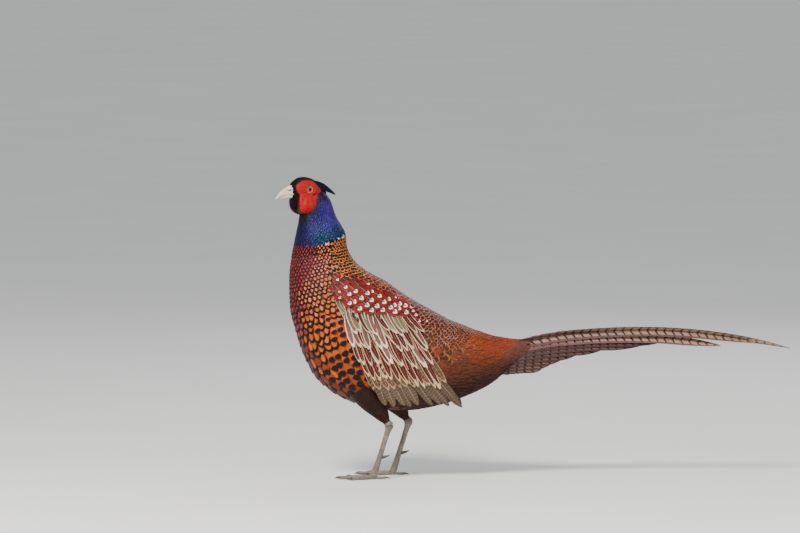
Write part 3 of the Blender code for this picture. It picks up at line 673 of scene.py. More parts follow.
def oval_distance(g, s, v, loose, half_width, middle, half_length):
    """0 at the middle of an oval on the vane and 1 on its outline."""
    down = g.math("DIVIDE", g.math("SUBTRACT", v, middle), half_length)
    out = g.math("DIVIDE", s, half_width)
    return g.math("ADD", g.math("ADD", g.times(down, down), g.times(out, out)), loose)


def paint_mark(g, paint, core, mark, oval, v):
    """A pale U round a grey middle, with a dark line round it."""
    paint = g.mix(g.times(mark, g.ease(oval, 1.8, 1.4)), paint, FEATHER_DARK)
    paint = g.mix(g.times(mark, g.ease(oval, 0.5, 0.3)), paint, MARK_GREY)
    return g.mix(g.times(mark, g.band(oval, 0.28, 1.1, 0.08), g.ease(v, 0.66, 0.74)), paint, core)


def feather_material(name, blunt=0.55, barred=False, **constants):
    """A vane's colours from its attributes: shaded root, streak, mark, spot, bars, edge and fine barbs."""
    g = Graph(name, **constants)
    base, shade = g.attribute("Base")
    core, core_width = g.attribute("Core")
    edge, edge_width = g.attribute("Edge")
    form, spot = g.attribute("Form")
    rim, streak, mark = g.split(form)
    bars, root_shade = g.attribute("Bars")
    bar, number, edge_from = g.split(bars)
    across, v = g.uv("Feather")
    s = g.math("ABSOLUTE", g.math("MULTIPLY_ADD", across, 2.0, -1.0))
    if barred:
        slant = g.math("SUBTRACT", g.times(v, g.times(number, MOST_BARS)), g.times(s, BAR_SLANT))
    else:
        slant = g.math("MULTIPLY_ADD", s, BARB_SLANT, v)
    along = g.times(slant, BARBS_PER_BAR if barred else BARBS)
    grain = g.vector(g.times(s, 1.6), along, g.times(shade, 37.0))
    barbs = g.noise(1.0, 2.0, grain)
    loose = g.math("MULTIPLY_ADD", barbs, 0.16, -0.08)
    # Painted shade: each vane darkens towards near-black at its root, where the feathers above overlap it.
    paint = g.mix(g.times(root_shade, g.ease(v, 0.62, 0.08)), base, FEATHER_DARK)
    in_streak = g.ease(g.math("SUBTRACT", g.math("ADD", s, loose), core_width), 0.07, -0.05)
    paint = g.mix(g.times(in_streak, streak, g.ease(v, 0.15, 0.4)), paint, core)
    paint = paint_mark(g, paint, core, mark, oval_distance(g, s, v, loose, *MARK_OVAL), v)
    at_spot = g.ease(oval_distance(g, s, v, loose, *SPOT_OVAL), 1.1, 0.85)
    paint = g.mix(g.times(at_spot, spot), paint, FEATHER_DARK)
    if barred:
        wave = g.math("FRACT", g.math("ADD", slant, loose))
        paint = g.mix(g.times(bar, g.band(wave, 0.34, 0.56, 0.06), g.ease(s, 1.0, 0.9)), paint, core)
        paint = g.mix(g.ease(s, 0.05, 0.02), paint, g.mix(0.5, paint, SHAFT_PALE))
    past = g.math("DIVIDE", g.math("SUBTRACT", v, blunt, clamp=True), 1 - blunt)
    square = g.times(past, past)
    side_square = g.times(s, s, g.math("SUBTRACT", 1.0, square))
    reach = g.math("ADD", g.math("SQRT", g.math("ADD", side_square, square)), loose)
    start = g.math("SUBTRACT", 1.0, edge_width)
    at_edge = g.ease(g.math("SUBTRACT", reach, start), -0.02, 0.06)
    at_edge = g.times(at_edge, rim, g.ease(g.math("SUBTRACT", v, edge_from), -0.05, 0.12))
    paint = g.mix(at_edge, paint, edge)
    light = g.times(g.math("MULTIPLY_ADD", barbs, 1.1, 0.45), g.math("MULTIPLY_ADD", shade, 0.4, 0.8))
    paint = g.mix(1.0, paint, g.vector(light, light, light), "MULTIPLY")
    g.bump(barbs, 0.7, 0.3 * MM)
    return g.colour(paint)


# Each kind of feather: vane, core and edge colours, widths of core and edge as shares of the half width,
# strengths of edge, streak, pale mark and dark spot, and where the edge starts and how strong the painted
# shade at the root is.
PLUMAGE = {
    "neck_black": ((14, 16, 26), (40, 50, 70), (8, 10, 16), (0.3, 0.30), (0.5, 0, 0, 0), (0.55, 0.5)),
    "neck_front": ((37, 32, 80), (60, 60, 110), (20, 18, 50), (0.3, 0.30), (0.7, 0, 0, 0), (0.5, 0.7)),
    "neck_violet": ((46, 38, 102), (60, 60, 110), (26, 22, 66), (0.3, 0.30), (0.7, 0, 0, 0), (0.5, 0.7)),
    "neck_lilac": ((82, 62, 140), (60, 60, 110), (46, 36, 94), (0.3, 0.30), (0.7, 0, 0, 0), (0.5, 0.7)),
    "neck_teal": ((32, 80, 108), (60, 60, 110), (8, 18, 36), (0.3, 0.30), (0.9, 0, 0, 0), (0.5, 0.8)),
    "collar": ((30, 70, 100), (60, 60, 110), (248, 246, 243), (0.3, 0.26), (1, 0, 0, 0), (0.74, 0.7)),
    "crown": ((20, 28, 27), (50, 60, 50), (30, 44, 40), (0.3, 0.30), (0.6, 0, 0, 0), (0.5, 0.4)),
    "ear": ((34, 28, 36), (50, 60, 50), (50, 42, 52), (0.3, 0.40), (0.6, 0, 0, 0), (0.5, 0.4)),
    "throat": ((9, 9, 12), (50, 60, 50), (20, 22, 28), (0.3, 0.30), (0.6, 0, 0, 0), (0.5, 0.3)),
    "breast_red": ((116, 34, 44), (160, 80, 78), (16, 5, 8), (0.24, 0.40), (1, 0.6, 0, 0), (0.35, 0.8)),
    "breast_pale": ((146, 66, 46), (208, 136, 104), (14, 6, 6), (0.26, 0.48), (1, 0.8, 0, 0), (0.35, 0.8)),
    "breast_gold": ((166, 90, 36), (200, 128, 66), (12, 7, 6), (0.28, 0.40), (1, 0.6, 0, 0), (0.5, 0.8)),
    "flank": ((176, 96, 26), (188, 116, 46), (140, 64, 20), (0.40, 0.10), (0.6, 0.3, 0, 1), (0.6, 0.6)),
    "flank_low": ((156, 76, 28), (174, 98, 46), (26, 12, 8), (0.40, 0.20), (0.8, 0.3, 0, 1), (0.6, 0.6)),
    "belly": ((66, 26, 18), (84, 36, 24), (20, 9, 8), (0.40, 0.30), (0.8, 0, 0, 0), (0.5, 0.6)),
    "mantle": ((184, 100, 50), (14, 8, 7), (208, 140, 86), (0.84, 0.26), (0.9, 1, 0, 0), (0.3, 0.8)),
    "mantle_rust": ((158, 64, 40), (20, 10, 9), (190, 116, 74), (0.62, 0.22), (0.8, 0.9, 0, 0), (0.4, 0.8)),
    "scapular": ((128, 42, 34), (246, 243, 238), (150, 62, 44), (0.30, 0.14), (1, 0, 1, 0), (0.3, 0.8)),
    "back_fine": ((126, 52, 44), (30, 18, 16), (184, 150, 126), (0.50, 0.18), (0.7, 0.8, 0, 0), (0.4, 0.8)),
    "rump_fine": ((122, 72, 46), (34, 22, 16), (164, 124, 84), (0.40, 0.20), (0.6, 0.7, 0, 0), (0.4, 0.8)),
    "rump_red": ((128, 58, 34), (160, 78, 38), (154, 88, 54), (0.30, 0.30), (0.4, 0, 0, 0), (0.35, 0.9)),
    "rump_side": ((86, 52, 36), (96, 62, 44), (112, 76, 54), (0.30, 0.30), (0.4, 0, 0, 0), (0.35, 0.9)),
    "vent": ((58, 28, 18), (60, 38, 30), (76, 42, 28), (0.30, 0.30), (0.3, 0, 0, 0), (0.35, 0.8)),
    "tail_covert": ((122, 90, 76), (60, 38, 30), (102, 72, 70), (0.30, 0.30), (0.5, 0, 0, 0), (0.35, 0.9)),
    "thigh": ((70, 42, 30), (90, 60, 44), (100, 66, 46), (0.30, 0.40), (0.6, 0, 0, 0), (0.35, 0.5)),
    "grey_covert": ((136, 122, 100), (88, 76, 62), (196, 184, 158), (0.14, 0.30), (0.9, 0.8, 0, 0), (0, 0.8)),
    "pale_covert": ((136, 104, 92), (96, 62, 58), (226, 214, 192), (0.22, 0.26), (1, 0.7, 0, 0), (0.1, 0.8)),
    "maroon_covert": ((98, 36, 34), (66, 24, 24), (214, 194, 166), (0.30, 0.17), (1, 0.6, 0, 0), (0.05, 0.8)),
    "tertial": ((106, 38, 30), (64, 24, 20), (216, 190, 156), (0.34, 0.16), (1, 0.7, 0, 0), (0.0, 0.7)),
    "secondary": ((104, 80, 66), (128, 106, 86), (188, 166, 136), (0.20, 0.12), (0.8, 0, 0, 0), (0.0, 0.7)),
    "primary": ((100, 86, 74), (128, 112, 94), (112, 98, 82), (0.20, 0.08), (0.4, 0, 0, 0), (0.0, 0.6)),
    "tail": ((170, 148, 132), (12, 8, 8), (118, 86, 90), (0.20, 0.36), (0.9, 0, 0, 0), (-0.2, 0.1)),
    "tail_outer": ((120, 98, 90), (12, 9, 9), (72, 52, 54), (0.20, 0.30), (0.8, 0, 0, 0), (-0.2, 0.1)),
    "tuft": ((8, 26, 36), (50, 60, 50), (22, 58, 72), (0.30, 0.30), (0.6, 0, 0, 0), (0.2, 0.4)),
}
# Where each kind grows on the body: middles of its fields as section and turn from the back in degrees.
BODY_FIELD = {
    "neck_black": ((1.1, 165), (1.5, 125), (0.7, 90), (1.9, 172), (0.2, 40), (0.1, 5), (1, 100)),
    "neck_front": ((2.9, 165), (2.4, 135), (3.3, 130)),
    "neck_violet": ((2.1, 95), (1.6, 75), (2.6, 110), (1, 10)),
    "neck_lilac": ((1.7, 45), (2.2, 55), (1.4, 10), (2.2, 20)),
    "neck_teal": ((3, 85), (2.9, 50), (3, 15)),
    "breast_red": ((4.2, 150), (5.5, 150), (7, 155), (4.1, 110), (8.6, 160), (5, 125)),
    "breast_pale": ((4.5, 82), (5.3, 98), (6.2, 112), (7, 125)),
    "breast_gold": ((6, 84), (7.2, 110), (8.3, 130), (9.3, 140)),
    "flank": ((7, 82), (8.2, 100), (9.4, 112), (10.6, 100), (9, 80)),
    "flank_low": ((10.2, 140), (11.6, 120), (11, 135)),
    "belly": ((10.4, 172), (12, 165), (9.6, 175), (12.2, 145)),
    "mantle": ((4.3, 45), (5.2, 58), (4.4, 12), (5.4, 25)),
    "mantle_rust": ((6.4, 50), (6.6, 10), (7.6, 30)),
    "scapular": ((8.2, 58), (9, 45)),
    "back_fine": ((8.8, 10), (10.2, 30), (11.4, 35), (10.4, 62)),
    "rump_fine": ((12.4, 30), (12, 62)),
    "rump_red": ((13.4, 25), (14.4, 45), (15.6, 55), (16.4, 20)),
    "rump_side": ((13, 85), (14.2, 95), (15.6, 105)),
    "vent": ((13.4, 150), (14.8, 145), (16.2, 140), (13.4, 118), (15.2, 120)),
    "tail_covert": ((17.4, 20), (17.2, 60), (17, 90)),
}
# Degrees of turn that count as far as one section, and how softly the fields run into each other.
FIELD_TURN, FIELD_BLEND = 26.0, 0.35
# Where the glossy neck feathers end: turns from the back in degrees, and the body sections there.
NECK_END = ((0, 45, 90, 180), (3.08, 3.3, 3.5, 3.3))
# Turns between which the last row of them shows white edges, and how many sections it takes up.
COLLAR_ARCS, COLLAR_DEPTH = ((22, 46), (70, 80)), 0.13
# Where each kind grows on the head, as a and c in millimetres.
HEAD_FIELD = {
    "crown": ((5, 23), (-12, 20), (18, 19), (-22, 12)),
    "throat": ((24, 6), (20, -18), (6, -30), (22, 14), (-4, -30)),
    "ear": ((-17, -8),),
    "neck_black": ((-22, -16), (-12, -26), (-30, -10), (-30, 0)),
}
# Columns: body section, distance between rows of feathers at the side, and between neighbours in a row.
ROW_SPACING = np.array([
    (0.0, 2.6, 3.1), (2.3, 3.0, 3.6), (3.1, 4.2, 5.0), (3.9, 4.2, 5.0), (5.0, 4.9, 5.7), (6.5, 6.4, 7.6),
    (8.0, 9.0, 10.4), (9.5, 12.0, 12.6), (11.0, 13.0, 13.5), (13.2, 11.0, 10.0), (17.0, 8.0, 6.0),
])
BACK_SPACING = np.array([(7.0, 7.0, 8.0), (9.0, 8.0, 8.5), (11.0, 6.5, 7.0), (13.0, 6.0, 5.5)])
RUMP_SPACING = np.array([(12.2, 5.5, 3.6), (14.0, 5.0, 3.2), (16.6, 5.0, 2.8)])


def looks_of(kinds, rng, bar=0.0, number=0.0, vary=0.10):
    """The attribute values of feathers of these kinds, each a little lighter or darker than the next."""
    count = len(kinds)
    layers = {key: np.zeros((count, 4)) for key in LAYERS}
    for name in np.unique(kinds):
        base, core, edge, widths, form, edge_root = PLUMAGE[name]
        here = kinds == name
        layers["Base"][here, :3] = deep(base)
        layers["Core"][here] = (*deep(core), widths[0])
        layers["Edge"][here] = (*deep(edge), widths[1])
        layers["Form"][here] = form
        # Where the edge starts, and how strong the painted shade at the root is.
        layers["Bars"][here, 2:] = edge_root
    light = np.exp(rng.normal(0, vary, (count, 1)))
    hue = np.exp(rng.normal(0, vary / 3, (count, 3)))
    layers["Base"][:, :3] *= light * hue
    layers["Core"][:, :3] *= np.sqrt(light)
    layers["Base"][:, 3] = rng.uniform(0, 1, count)
    layers["Bars"][:, 0] = bar
    layers["Bars"][:, 1] = number / MOST_BARS
    return layers


def field_table(fields):
    """The kind at each middle of the fields, and the middles."""
    names = np.array([kind for kind, places in fields.items() for _ in places])
    return names, np.array([place for places in fields.values() for place in places])


def from_back(turn):
    """Turns from the back in degrees, the same on both sides."""
    return np.degrees(np.abs((turn + np.pi) % (2 * np.pi) - np.pi))


def kinds_on_body(t, turn, rng):
    """The kind that grows at each section and turn, from the nearest field, and the share of every field."""
    degrees = from_back(turn)
    names, middles = field_table(BODY_FIELD)
    middles = middles / (1, FIELD_TURN)
    end = np.interp(degrees, *NECK_END)
    wander = ease(3.2, 4.2, t) * np.minimum(0.03 * t, 0.3) + 0.05
    wander = wander[..., None] * rng.normal(0, 1, (*t.shape, 2))
    here = np.stack([t, degrees / FIELD_TURN], axis=-1)
    below = (t > end)[..., None]
    other_part = 100 * (below == np.char.startswith(names, "neck"))

    def away_from_fields(place):
        return np.sum((place[..., None, :] - middles) ** 2, axis=-1) + other_part

    kinds = names[np.argmin(away_from_fields(here + wander), axis=-1)]
    away = away_from_fields(here + 0.4 * wander)
    blend = FIELD_BLEND * (1 + 3.5 * ease(7, 12.5, t))[..., None]
    shares = np.exp(-(away - away.min(axis=-1, keepdims=True)) / blend)
    last_row = (t > end - COLLAR_DEPTH) & (t < end)
    for low, high in COLLAR_ARCS:
        kinds = np.where(last_row & (degrees > low) & (degrees < high), "collar", kinds)
    return kinds, shares / shares.sum(axis=-1, keepdims=True)


def blend_fields(layers, kinds, shares):
    """Draws each vane's colour towards those of the fields round it, so that no field ends in a line."""
    table = np.array([deep(PLUMAGE[name][0]) for name in field_table(BODY_FIELD)[0]])
    own = np.array([deep(PLUMAGE[name][0]) for name in kinds])
    mixed = np.where((kinds == "collar")[:, None], own, shares @ table)
    layers["Base"][:, :3] *= mixed / own
    return layers


def kinds_on_head(a, c):
    """The kind that grows at each place of the head, from the nearest field."""
    names, middles = field_table(HEAD_FIELD)
    middles = MM * middles
    away = (a[..., None] - middles[:, 0]) ** 2 + (c[..., None] - middles[:, 1]) ** 2
    return names[np.argmin(away, axis=-1)]


def body_roots(start, end, spacing, rng):
    """Staggered rows of roots round the body: places, distances between rows and between neighbours."""
    turns = np.linspace(0, 2 * np.pi, 181)
    places, spans, gaps = [], [], []
    t, row, count = start, 0, 0
    while t < end:
        step, gap = (MM * np.interp(t, spacing[:, 0], spacing[:, k]) for k in (1, 2))
        ring = body_at(np.stack([np.full(turns.shape, t), turns], axis=-1))
        lengths = np.concatenate([[0], np.cumsum(np.linalg.norm(np.diff(ring, axis=0), axis=1))])
        round_it = lengths[-1]
        if abs(round_it / gap - count) > 2.5:
            count = round(round_it / gap)
        even = (np.arange(count) + 0.5 * (row % 2) + rng.normal(0, 0.05, count)) / count * round_it
        q = np.stack([np.full(count, t), np.interp(even % round_it, lengths, turns)], axis=-1)
        speed = np.linalg.norm(BODY_SURFACE.frame(q)[1], axis=1)
        advance = step / np.linalg.norm(BODY_SURFACE.frame(np.array([[t, np.pi / 2]]))[1])
        places.append(q + np.stack([rng.normal(0, 0.05 * advance, count), np.zeros(count)], axis=-1))
        spans.append(speed * advance)
        gaps.append(np.full(count, round_it / count))
        t += advance
        row += 1
    return np.concatenate(places), np.concatenate(spans), np.concatenate(gaps)


def inside_outline(points, outline):
    """Whether each point of a plane lies inside a closed outline."""
    x, y = points[..., 0, None], points[..., 1, None]
    x0, y0 = outline[:, 0], outline[:, 1]
    x1, y1 = np.roll(x0, -1), np.roll(y0, -1)
    crosses = (y0 > y) != (y1 > y)
    at = x0 + (y - y0) / np.where(y1 == y0, 1e-9, y1 - y0) * (x1 - x0)
    return np.sum(crosses & (x < at), axis=-1) % 2 == 1


# The shortest and the longest feather of the body.
BODY_LENGTHS = 4 * MM, 46 * MM


def body_plumes(name, roots, spans, gaps, sections, rng, overlap=2.3, widen=1.45, turn=0.05, **shape):
    """Feathers between two sections of the body, longer where their rows are further apart."""
    count = len(roots)
    length = np.clip(overlap * spans, *BODY_LENGTHS) * np.exp(rng.normal(0, 0.05, count))
    width = widen * gaps * np.exp(rng.normal(0, 0.05, count))
    lift = np.clip(0.12 * length, 0.7 * MM, 2.8 * MM)
    heading = rng.normal(0, turn, count)
    high = 0.45 * lift + rng.uniform(-0.15, 0.15, count) * MM
    tilt = rng.normal(0, 0.02, count) * width
    grid, outward, v = lay(BODY_SURFACE, roots, length, width, -0.5 * lift, high, heading=heading,
                           camber=0.06 * width, tilt=tilt, **shape)
    speed = np.linalg.norm(BODY_SURFACE.frame(roots)[1], axis=1)
    kinds, shares = kinds_on_body(roots[:, 0] + 0.8 * length / speed, roots[:, 1], rng)
    looks = blend_fields(looks_of(kinds, rng), kinds, shares)
    first, last = sections
    bake = np.stack([roots[:, 1] / (2 * np.pi), (roots[:, 0] - first) / (last - first)], axis=-1)
    plumes = Plumes(name)
    plumes.add(grid, outward, v, 0.18 * MM, looks, bake, 0.004)
    return plumes


# Stretches of the body's coat: slot, material, first and last section, spacing, first and last turn from the
# back in degrees, and the shape of the feathers.
BODY_AREAS = {
    "coat_neck": ("neck", "neck", (0.02, 3.66), ROW_SPACING, (0, 181), dict(rows=5, overlap=2.8, blunt=0.4)),
    "coat_breast": ("breast", "breast", (3.66, 6.6), ROW_SPACING, (0, 181), {}),
    "coat_flank": ("breast", "breast", (6.6, 13.1), ROW_SPACING, (58, 181), dict(rows=8, columns=7)),
    "coat_back": ("breast", "breast", (6.6, 12.6), BACK_SPACING, (0, 66), {}),
    "coat_rump": ("rump", "rump", (12.3, 16.9), RUMP_SPACING, (0, 181),
                  dict(columns=3, overlap=5.2, widen=1.3, blunt=0.3, turn=0.09)),
}


def bare_of_coat(roots):
    """Which roots on the body lie under the closed wing or in the head."""
    points = body_at(roots)
    shut = WING_CORE * 0.8 + WING_CORE.mean(axis=0) * 0.2
    covered = inside_outline(points[:, (0, 2)], shut) & (from_back(roots[:, 1]) < 125)
    return covered | in_head(points, -3.5 * MM)


def make_body_coat(materials):
    """Neck, breast, flank, back and rump, each a piece of the coat."""
    rng = np.random.default_rng(SEED)
    for name, (slot, material, (start, end), spacing, (low, high), shape) in BODY_AREAS.items():
        roots, spans, gaps = body_roots(start, end, spacing, rng)
        degrees = from_back(roots[:, 1])
        kept = (degrees >= low) & (degrees < high) & ~bare_of_coat(roots)
        plumes = body_plumes(name, roots[kept], spans[kept], gaps[kept], (start, end), rng, **shape)
        plumes.build(materials[material], slot)


def smooth_outline(count):
    """The red skin's outline on a closed smooth curve."""
    table = np.vstack([WATTLE[-2:], WATTLE, WATTLE[:3]])
    return curve_rows(table, 2 + len(WATTLE) * np.arange(count) / count)


# Rows of feathers on the head, from the bill backwards, and the distance between neighbours in a row.
HEAD_ROWS, HEAD_GAP = np.arange(-27.7, 34.6, 2.1) * MM, 2.3 * MM


def staggered_turns(count, row, loose, rng):
    """Even turns round a ring, each a little out of place, and every other row half a gap on."""
    return 2 * np.pi * (np.arange(count) + 0.5 * (row % 2) + rng.normal(0, loose, count)) / count


def head_roots(rng):
    """Roots of the head's feathers, none under the red skin or in the neck, and their places in its frame."""
    rows = []
    for row, back in enumerate(HEAD_ROWS):
        size = head_rows(np.array(-back))
        around = math.pi * (size[3] + (size[1] - size[2]) / 2)
        turns = staggered_turns(max(6, round(around / HEAD_GAP)), row, 0.1, rng)
        backs = np.full(len(turns), back) + rng.normal(0, 0.2, len(turns)) * MM
        rows.append(np.stack([backs, turns], axis=-1))
    roots = np.concatenate(rows)
    points = head_at(roots)
    place = to_head(points)
    a, b, c = np.moveaxis(place, -1, 0)
    shrunk = WATTLE_CENTRE + 0.95 * (smooth_outline(80) - WATTLE_CENTRE)
    under_skin = inside_outline(place[:, (0, 2)], shrunk) & (np.abs(b) > 0.62 * head_side(a, c))
    kept = ~under_skin & ~in_body(points, -4.5 * MM)
    return roots[kept], place[kept]


# Length and width of a head feather at the bill, and what the nape and the beard add, in millimetres.
BILL_PLUME, NAPE_MORE, BEARD_MORE = (4.2, 2.6), (4.3, 1.5), 2.5


def make_head_coat(material):
    """The small feathers of crown, ears and throat, round the red skin and the bill."""
    rng = np.random.default_rng(SEED + 1)
    roots, place = head_roots(rng)
    a, b, c = np.moveaxis(place, -1, 0)
    size = ease(-26 * MM, 8 * MM, roots[:, 0])
    beard = ease(-4 * MM, -16 * MM, c) * ease(12 * MM, 7 * MM, np.abs(b)) * ease(-6 * MM, 6 * MM, a)
    length = (BILL_PLUME[0] + NAPE_MORE[0] * size + BEARD_MORE * beard) * MM
    width = (BILL_PLUME[1] + NAPE_MORE[1] * size) * MM
    low = (-0.3 + 1.5 * beard - 1.1 * (a > HEAD[-1, 0])) * MM
    high = low + (0.85 + 0.4 * size + 2.5 * beard) * MM
    heading = rng.normal(0, 0.08, len(roots))
    grid, outward, v = lay(HEAD_SURFACE, roots, length, width, low, high, rows=5, columns=3,
                           heading=heading, camber=0.1 * MM)
    bake = np.stack([roots[:, 1] / (2 * np.pi) % 1, (roots[:, 0] + 27 * MM) / (62 * MM)], axis=-1)
    plumes = Plumes("coat_head")
    plumes.add(grid, outward, v, 0.15 * MM, looks_of(kinds_on_head(a - 0.6 * length, c), rng), bake, 0.004)
    plumes.build(material, "crown")


# Tiers of the closed wing in the side view, lowest first: kinds and their shares, feathers in a row, first
# and last root, first and last tip, full width, and heights over the body at root and tip.
WING_TIERS = (
    (dict(primary=1), 9, (-236, 196), (-182, 212), (-216, 113), (-105, 111), 16, 2.0, 3.2),
    (dict(secondary=1), 12, (-250, 214), (-180, 228), (-230, 138), (-126, 146), 14, 3.0, 5.0),
    (dict(tertial=0.7, maroon_covert=0.3), 14,
     (-256, 228), (-176, 242), (-238, 158), (-122, 134), 10, 4.0, 6.0),
    (dict(maroon_covert=0.65, pale_covert=0.35), 16,
     (-266, 242), (-182, 248), (-250, 178), (-134, 168), 9.5, 4.2, 6.8),
    (dict(pale_covert=0.5, maroon_covert=0.3, grey_covert=0.2), 17,
     (-272, 254), (-184, 256), (-258, 200), (-146, 192), 9, 4.5, 7.5),
    (dict(pale_covert=0.45, grey_covert=0.25, maroon_covert=0.3), 16,
     (-272, 262), (-194, 262), (-258, 222), (-162, 214), 9, 4.6, 7.6),
)
# How far the tips of flight feathers and of coverts lie out of line, in millimetres.
FLIGHT_LOOSE, COVERT_LOOSE = 1.4, 3.0
# From bar to bar of the barred kinds, and of any other.
BAR_SPACING, OTHER_SPACING = {"primary": 4.5 * MM, "secondary": 6 * MM}, 5 * MM
# Where the wing's own UV map starts and how much of the side view it covers, in metres.
WING_CORNER, WING_SPAN = (-0.32, 0.09), (0.24, 0.22)
# The strip of small coverts down the front of the wing: first and last root.
STRIP_START, STRIP_END = MM * np.array([-288, 272]), MM * np.array([-236, 168])
STRIP_LANES, STRIP_ROWS = 4, 14
# From lane to lane, each covert's length and width, and how far its tip leans back and strays.
STRIP_GAP, STRIP_LENGTH, STRIP_WIDTH, STRIP_LEAN, STRIP_LOOSE = MM * np.array([4.5, 27, 6.5, 2, 1.2])
# Where the tips of the marked scapulars' top and bottom rows lie: share of the row, x and z.
SCAPULAR_TOP = np.array([(0, -283, 297), (0.5, -234, 288), (1, -184, 263)])
SCAPULAR_BOTTOM = np.array([(0, -287, 274), (0.4, -246, 251), (1, -180, 247)])
SCAPULAR_ROWS, SCAPULAR_COLUMNS = 6, 7
SCAPULAR_LENGTH, SCAPULAR_WIDTH, SCAPULAR_LOOSE = 25 * MM, 17.5 * MM, 1.0 * MM


def add_wing_rows(plumes, side, roots, tips, width, low, high, kinds, rng, tilt=0.0, bow=0.0):
    """Feathers from roots to tips of the side view."""
    shift = np.array([ORIGIN_X, 0])
    roots, tips = roots - shift, tips - shift
    length = np.linalg.norm(tips - roots, axis=1)
    spacing = np.array([BAR_SPACING.get(kind, OTHER_SPACING) for kind in kinds])
    barred = np.isin(kinds, list(BAR_SPACING))
    grid, outward, v = lay(SIDE_SURFACES[side], roots, length, width, low, high, rows=12, columns=7,
                           blunt=0.62, aim=tips - roots, camber=0.045 * width, tilt=tilt, bow=bow)
    bake = (roots - WING_CORNER) / WING_SPAN
    plumes.add(grid, outward, v, 0.3 * MM, looks_of(kinds, rng, barred, length / spacing), bake, 0.02)


def add_wing_tiers(plumes, side, rng):
    """Flight feathers and coverts, tier over tier."""
    lean = -SIDES[side] * MM
    for mixed, count, root0, root1, tip0, tip1, width, low, high in WING_TIERS:
        share = ((np.arange(count) + rng.uniform(-0.2, 0.2, count)) / (count - 1))[:, None]
        roots, tips = (MM * (np.array(first) * (1 - share) + np.array(last) * share)
                       for first, last in ((root0, root1), (tip0, tip1)))
        loose = FLIGHT_LOOSE if len(mixed) == 1 else COVERT_LOOSE
        tips = tips + rng.normal(0, loose * MM, (count, 2))
        kinds = rng.choice(list(mixed), count, p=list(mixed.values()))
        rise = high + rng.uniform(-0.4, 0.4, count)
        width = width * MM * rng.uniform(0.85, 1.15, count)
        add_wing_rows(plumes, side, roots, tips, width, low * MM, rise * MM, kinds, rng, 0.9 * lean, 2 * lean)


def numbered(columns, rows):
    """The column and the row of every place in a grid."""
    return (grid.ravel() for grid in np.meshgrid(np.arange(columns), np.arange(rows)))


def add_front_strip(plumes, side, rng):
    """Lanes of small grey coverts down the front of the wing."""
    lane, row = numbered(STRIP_LANES, STRIP_ROWS)
    down = unit(STRIP_END - STRIP_START)
    across = np.array([-down[1], down[0]])
    share = (row + 0.5 * (lane % 2)) / STRIP_ROWS
    roots = STRIP_START + share[:, None] * (STRIP_END - STRIP_START) + across * (lane * STRIP_GAP)[:, None]
    tips = roots + down * STRIP_LENGTH + across * STRIP_LEAN + rng.normal(0, STRIP_LOOSE, roots.shape)
    low = 1.6 * MM + 2.4 * MM * lane / STRIP_LANES
    kinds = np.full(len(roots), "grey_covert")
    add_wing_rows(plumes, side, roots, tips, STRIP_WIDTH, low, low + 2.4 * MM, kinds, rng)


def add_scapulars(plumes, side, rng):
    """The marked scapulars over the top of the wing, small and flat where they start."""
    column, row = numbered(SCAPULAR_COLUMNS, SCAPULAR_ROWS)
    u = (column + 0.5 * (row % 2)) / (SCAPULAR_COLUMNS - 0.5)
    w = (row / (SCAPULAR_ROWS - 1))[:, None]
    top, bottom = (MM * np.stack([np.interp(u, line[:, 0], line[:, k]) for k in (1, 2)], axis=-1)
                   for line in (SCAPULAR_TOP, SCAPULAR_BOTTOM))
    tips = top * (1 - w) + bottom * w + rng.normal(0, SCAPULAR_LOOSE, (len(u), 2))
    size = 0.58 + 0.42 * ease(-0.1, 0.45, u) * ease(-0.2, 0.6, w[:, 0])
    slope = -1.15 + 0.65 * u
    ahead = unit(np.stack([np.ones_like(slope), slope], axis=-1))
    roots = tips - ahead * (SCAPULAR_LENGTH * size)[:, None]
    ease_in = ease(-0.05, 0.25, u) * ease(-0.15, 0.5, w[:, 0])
    low = (1.0 + 3.8 * ease_in) * MM
    high = low + (1.4 + 2.4 * ease_in) * MM
    kinds = np.full(len(roots), "scapular")
    add_wing_rows(plumes, side, roots, tips, SCAPULAR_WIDTH * size, low, high, kinds, rng)


def make_wing(side, material):
    """The folded wing: flight feathers, coverts, the grey front strip and the marked scapulars over them."""
    rng = np.random.default_rng(SEED + 2)
    plumes = Plumes(f"wing_feathers_{side}")
    for add in (add_wing_tiers, add_front_strip, add_scapulars):
        add(plumes, side, rng)
    plumes.build(material, "wing", f"wing_{side}")


def tail_height(x):
    """The height of the tail's crest at each x, falling off to the front and the back."""
    fall = np.where(x < TAIL_CREST_X, TAIL_FALL_FRONT, TAIL_FALL_BACK)
    return TAIL_CREST_Z - fall * (x - TAIL_CREST_X) ** 2


def tail_root(pair):
    """How far out and up the feathers of a pair start, and how far they lean over."""
    out, height, roll = TAIL_OUT, -TAIL_UNDER, TAIL_ROLL
    for _ in range(pair):
        out += TAIL_STEP * math.cos(roll) - TAIL_LAYER * math.sin(roll)
        height -= TAIL_STEP * math.sin(roll) + TAIL_LAYER * math.cos(roll)
        roll += TAIL_ROLL_STEP
    return out, height, roll


def tail_line(pair, sign, long, u):
    """A tail feather's middle line at shares u of its length, and which way it runs and faces there."""
    out, height, roll = tail_root(pair)
    if sign < 0:
        height -= TAIL_LAYER
    x = TAIL_ROOT_X + long * u
    pull = np.minimum(1, 0.6 + 1.6 * u)
    y = sign * out * (1 - 0.5 * u) * pull
    z = tail_height(x) + (height + TAIL_GATHER) * pull - TAIL_GATHER
    if pair:
        z = z - TAIL_FAN_DROP * u ** 1.5
    else:
        z = z - height * 0.5 * u - (LEFT_MIDDLE_DROP * u ** 1.5 if sign < 0 else 0)
    centre = np.stack([x - ORIGIN_X, y, z], axis=-1)
    along = unit(np.gradient(centre, axis=0))
    outward = np.array([0, sign * math.cos(roll), -math.sin(roll)])
    outward = unit(outward - along * dot(along, outward)[:, None])
    up = np.cross(along, outward)
    return centre, along, up * np.sign(up[:, 2:])


